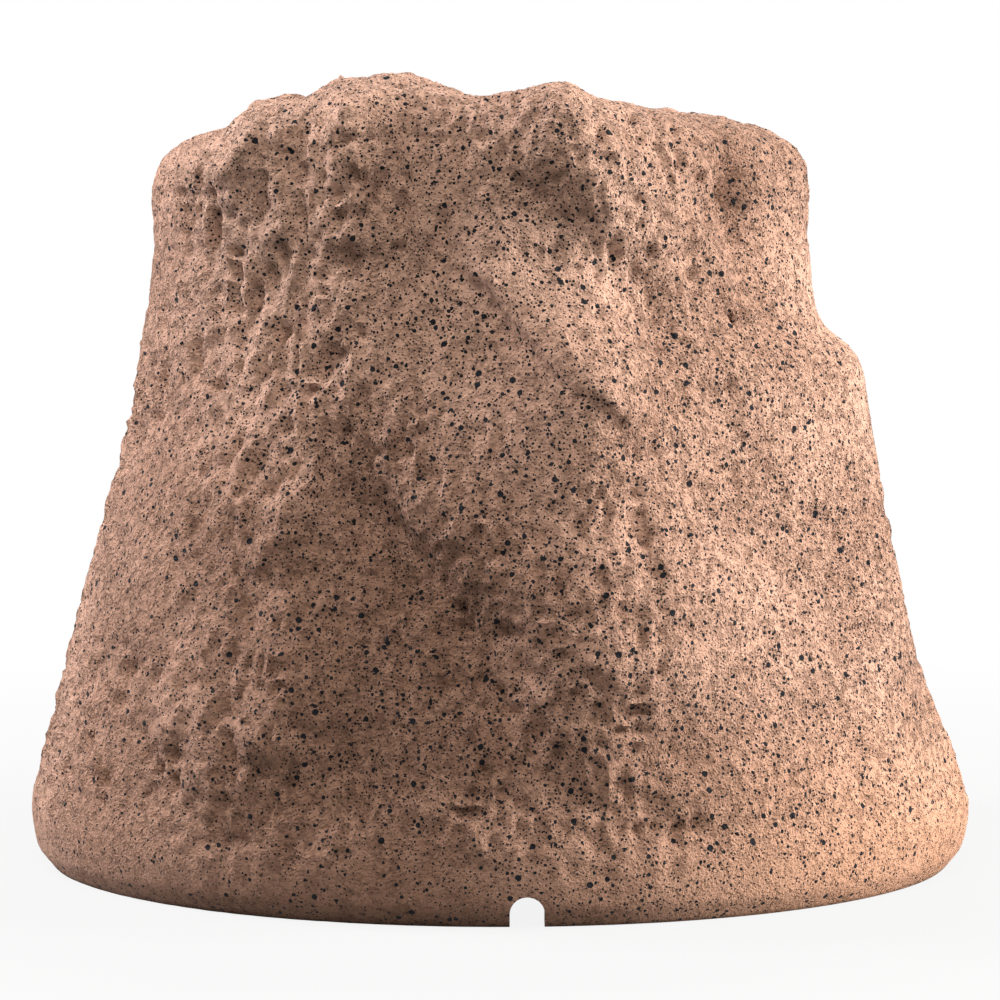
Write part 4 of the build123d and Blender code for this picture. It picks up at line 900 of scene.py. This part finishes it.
class SPEAKER_OT_rock(bpy.types.Operator):
    """Build the weathered stone shell with its floor opening, grille pocket and cable notch"""

    bl_idname = "speaker.rock"
    bl_label = "Rock Shell"

    def execute(self, context):
        rock = context.scene.speaker_rock
        points, relief = weathered_rock(rock.columns, rock.rows, rock.relief)
        shell = closed_grid("rock_shell_stone", points)
        attribute = shell.data.attributes.new("relief", "FLOAT", "POINT")
        attribute.data.foreach_set("value", np.append(relief, [0.0, 0.0]).astype(np.float32))
        hollow = closed_grid("hollow", hollow_grid(rock.wall / MM))
        cut(hollow, closed_grid("collar", collar_grid()))
        cut(shell, hollow)
        for name, grid in ("underside", underside_grid()), ("pocket", pocket_grid()), ("notch", notch_grid()):
            cut(shell, closed_grid(name, grid))
        shade(shell, ROCK_CREASE)
        stone = stone_material(rock, shared_group("Flakes", speck_group))
        finish_piece(shell, "sandstone", stone, "rock_shell")
        return {"FINISHED"}


# Grille sizes, in millimetres
BAFFLE_FRONT = 12.0
GRILLE_SHEET = 1.2
GRILLE_RISE = 10.0
GRILLE_SLOPE = 4.0
GRILLE_FOOT = 80.3
GRILLE_EDGE = 91.0
SCREW_CIRCLE = POCKET_RADIUS - SEAT_WIDTH / 2
SCREW_COUNT = 6
SCREW_HOLE = 2.3
# Ring round the grille's middle point, offset of its outer bends, and sides of a punched hole
GRILLE_MIDDLE = 1.0
GRILLE_BEND = 0.6
PIN_SIDES = 12


def hole_pins(centres, radii, low, high):
    """One mesh of upright pins, each a closed grid of two rings."""
    middle = centres[:, None]
    ring = middle + radii[:, None, None] * unit_circle(PIN_SIDES)
    pins = np.concatenate([driver_place(ring, low), driver_place(ring, high),
                           driver_place(middle, high), driver_place(middle, low)], axis=1)
    quads, upper, lower = ring_faces(2, PIN_SIDES)
    first = np.arange(len(centres))[:, None, None] * pins.shape[1]
    fans = np.concatenate([upper, lower]) + first
    return mesh_object("holes", pins.reshape(-1, 3), (quads + first).reshape(-1, 4), fans.reshape(-1, 3))


def perforation(pitch, reach):
    """Centres of a hexagonal pattern inside the reach: every second row is moved half a pitch."""
    count = int(reach / pitch) + 2
    column, row = np.meshgrid(np.arange(-count, count + 1), np.arange(-count, count + 1))
    centres = np.stack([(column + 0.5 * (row % 2)) * pitch, row * pitch * math.sqrt(3) / 2], axis=-1)
    return centres[np.hypot(centres[..., 0], centres[..., 1]) < reach]


class SPEAKER_OT_grille(bpy.types.Operator):
    """Build the dished grille with its fine perforation and screw holes"""

    bl_idname = "speaker.grille"
    bl_label = "Grille"

    def execute(self, context):
        grille = context.scene.speaker_grille
        face = BAFFLE_FRONT + GRILLE_RISE
        foot = BAFFLE_FRONT
        top_radius = GRILLE_FOOT - GRILLE_SLOPE
        section = [(GRILLE_MIDDLE, face), (top_radius, face), (GRILLE_FOOT, foot), (GRILLE_EDGE, foot),
                   (GRILLE_EDGE, foot + GRILLE_SHEET), (GRILLE_FOOT + GRILLE_BEND, foot + GRILLE_SHEET),
                   (top_radius + GRILLE_BEND, face + GRILLE_SHEET), (GRILLE_MIDDLE, face + GRILLE_SHEET)]
        sheet = closed_grid("front_grille_sheet", turned_grid(section, CUTTER_SIDES))
        pitch, hole = grille.pitch / MM, grille.hole / MM
        holes = perforation(pitch, top_radius - pitch)
        centres = np.concatenate([holes, SCREW_CIRCLE * unit_circle(SCREW_COUNT)])
        radii = np.concatenate([np.full(len(holes), hole), np.full(SCREW_COUNT, SCREW_HOLE)])
        cut(sheet, hole_pins(centres, radii, foot - GRILLE_RISE, face + GRILLE_RISE))
        shade(sheet, GRILLE_CREASE)
        finish_piece(sheet, "grille_steel", shared_finish("grille_steel"), "front_grille")
        return {"FINISHED"}


class SPEAKER_OT_finishes(bpy.types.Operator):
    """Give every solid but the rock its own finish"""

    bl_idname = "speaker.finishes"
    bl_label = "Finishes"

    def execute(self, context):
        for part in frame["record"]["subparts"]:
            slot, materials = part["material_slot"], frame["nodes"][part["node"]].data.materials
            if slot in FINISHES:
                materials.clear()
                materials.append(shared_finish(slot))
        return {"FINISHED"}


# Lamps: name, place, width, height, power in watts, colour
LAMPS = [
    ("right_softbox", (1.25, -0.15, 0.5), 0.5, 0.8, 42.0, (1.0, 0.97, 0.94)),
    ("left_softbox", (-1.2, 0.25, 0.9), 0.45, 0.8, 34.0, (0.98, 0.96, 1.0)),
    ("high_softbox", (-0.15, -0.85, 1.35), 0.7, 0.6, 17.0, (1.0, 0.95, 0.9)),
    ("front_softbox", (0.5, 1.5, 1.3), 1.2, 0.9, 7.0, (1.0, 0.97, 0.94)),
]
LAMP_AIM = (0.0, 0.0, 0.14)
FILL_LIGHT = 0.2
FILL_COLOUR = (1.0, 0.9, 0.8, 1.0)
WHITE = (1.0, 1.0, 1.0, 1.0)
SENSOR_WIDTH = 36.0
# Rings of the floor in metres, its sides and roughness, and its glow over a span of distance
FLOOR_RINGS = (14.0, 4.0, 1.0, 0.2)
FLOOR_SIDES = 64
FLOOR_ROUGHNESS = 0.9
FLOOR_GLOW = (0.2, 0.6, 0.88, 1.0)


def floor_disc():
    """Level disc round the rock: circles of shrinking radius at height 0, closed by a fan."""
    grid = oval_grid([(radius / MM, radius / MM, 0.0) for radius in FLOOR_RINGS], FLOOR_SIDES)
    quads, upper, _ = ring_faces(*grid.shape[:2])
    return mesh_object("floor", np.concatenate([grid.reshape(-1, 3), [grid[-1].mean(0)]]), quads, upper)


def seen_directly(tree):
    """1 for rays that see the surface from the camera, in a reflection or through glass."""
    rays = add_node(tree, "ShaderNodeLightPath").outputs
    seen = math_node(tree, "MAXIMUM", rays["Is Camera Ray"], rays["Is Glossy Ray"])
    return math_node(tree, "MAXIMUM", seen, rays["Is Transmission Ray"])


def floor_material(colour):
    """Studio floor that keeps the rock's shadow, and glows white where it is seen directly."""
    material, tree, shader = new_material("studio_floor")
    shader.inputs["Base Color"].default_value = colour
    shader.inputs["Roughness"].default_value = FLOOR_ROUGHNESS
    glow = add_node(tree, "ShaderNodeEmission", {"Color": WHITE, "Strength": 1.0})
    place = add_node(tree, "ShaderNodeTexCoord").outputs["Object"]
    away = add_node(tree, "ShaderNodeVectorMath", {0: place}, operation="LENGTH").outputs["Value"]
    share = product(tree, seen_directly(tree), span(tree, away, *FLOOR_GLOW))
    blend = add_node(tree, "ShaderNodeMixShader", {0: share, 1: shader.outputs[0], 2: glow.outputs[0]})
    tree.links.new(blend.outputs[0], tree.nodes["Material Output"].inputs["Surface"])
    return material


def set_surroundings(scene):
    """World that is white where it is seen directly, and otherwise a weak warm fill."""
    scene.world = bpy.data.worlds.new("studio")
    scene.world.use_nodes = True
    tree = scene.world.node_tree
    sky = tree.nodes["Background"]
    seen = seen_directly(tree)
    tree.links.new(mix_colour(tree, seen, FILL_COLOUR, WHITE), sky.inputs["Color"])
    tree.links.new(span(tree, seen, 0.0, 1.0, FILL_LIGHT, 1.0), sky.inputs["Strength"])


def place_and_aim(scene, data, place, aim):
    """Object of a lamp or camera at its place, turned to look at the aim with its top up."""
    thing = bpy.data.objects.new(data.name, data)
    thing.location = place
    thing.rotation_euler = (Vector(aim) - thing.location).to_track_quat("-Z", "Y").to_euler()
    scene.collection.objects.link(thing)
    return thing


class SPEAKER_OT_stage(bpy.types.Operator):
    """Set the floor, the lamps, the white surroundings and the camera"""

    bl_idname = "speaker.stage"
    bl_label = "Stage"

    def execute(self, context):
        stage = context.scene.speaker_stage
        scene = context.scene
        floor = floor_disc()
        floor.data.materials.append(floor_material(stage.floor[:]))
        set_surroundings(scene)
        for name, place, width, height, power, colour in LAMPS:
            data = bpy.data.lights.new(name, "AREA")
            data.shape = "RECTANGLE"
            data.size, data.size_y = width, height
            data.energy = power
            data.color = colour
            place_and_aim(scene, data, place, LAMP_AIM).visible_camera = False
        data = bpy.data.cameras.new("camera")
        data.lens = stage.lens
        data.sensor_width = SENSOR_WIDTH
        eye = (0.0, -stage.distance, stage.eye_height)
        scene.camera = place_and_aim(scene, data, eye, (0.0, 0.0, stage.aim_height))
        scene.view_settings.view_transform = "Standard"
        return {"FINISHED"}


class SPEAKER_PT_panel(bpy.types.Panel):
    """Lists the pieces and their settings"""

    bl_idname = "SPEAKER_PT_panel"
    bl_label = "Rock Speaker"
    bl_space_type = "VIEW_3D"
    bl_region_type = "UI"
    bl_category = "Rock Speaker"

    def draw(self, context):
        for operator in OPERATORS:
            self.layout.operator(operator.bl_idname)
        for group in SETTINGS:
            settings = getattr(context.scene, group)
            for name in settings.__annotations__:
                self.layout.prop(settings, name)


OPERATORS = (SPEAKER_OT_rock, SPEAKER_OT_grille, SPEAKER_OT_finishes, SPEAKER_OT_stage)
SETTINGS = {"speaker_rock": RockSettings, "speaker_grille": GrilleSettings, "speaker_stage": StageSettings}


def register():
    """Add the settings, the operators and the panel."""
    for kind in (*SETTINGS.values(), *OPERATORS, SPEAKER_PT_panel):
        bpy.utils.register_class(kind)
    for name, kind in SETTINGS.items():
        setattr(bpy.types.Scene, name, PointerProperty(type=kind))


def unregister():
    """Take the panel, the operators and the settings away."""
    for name in SETTINGS:
        delattr(bpy.types.Scene, name)
    for kind in (SPEAKER_PT_panel, *reversed(OPERATORS), *reversed(SETTINGS.values())):
        bpy.utils.unregister_class(kind)


def main():
    """Make every piece and the stage."""
    register()
    bpy.ops.speaker.rock()
    bpy.ops.speaker.grille()
    bpy.ops.speaker.finishes()
    bpy.ops.speaker.stage()


if __name__ == "__main__":
    main()
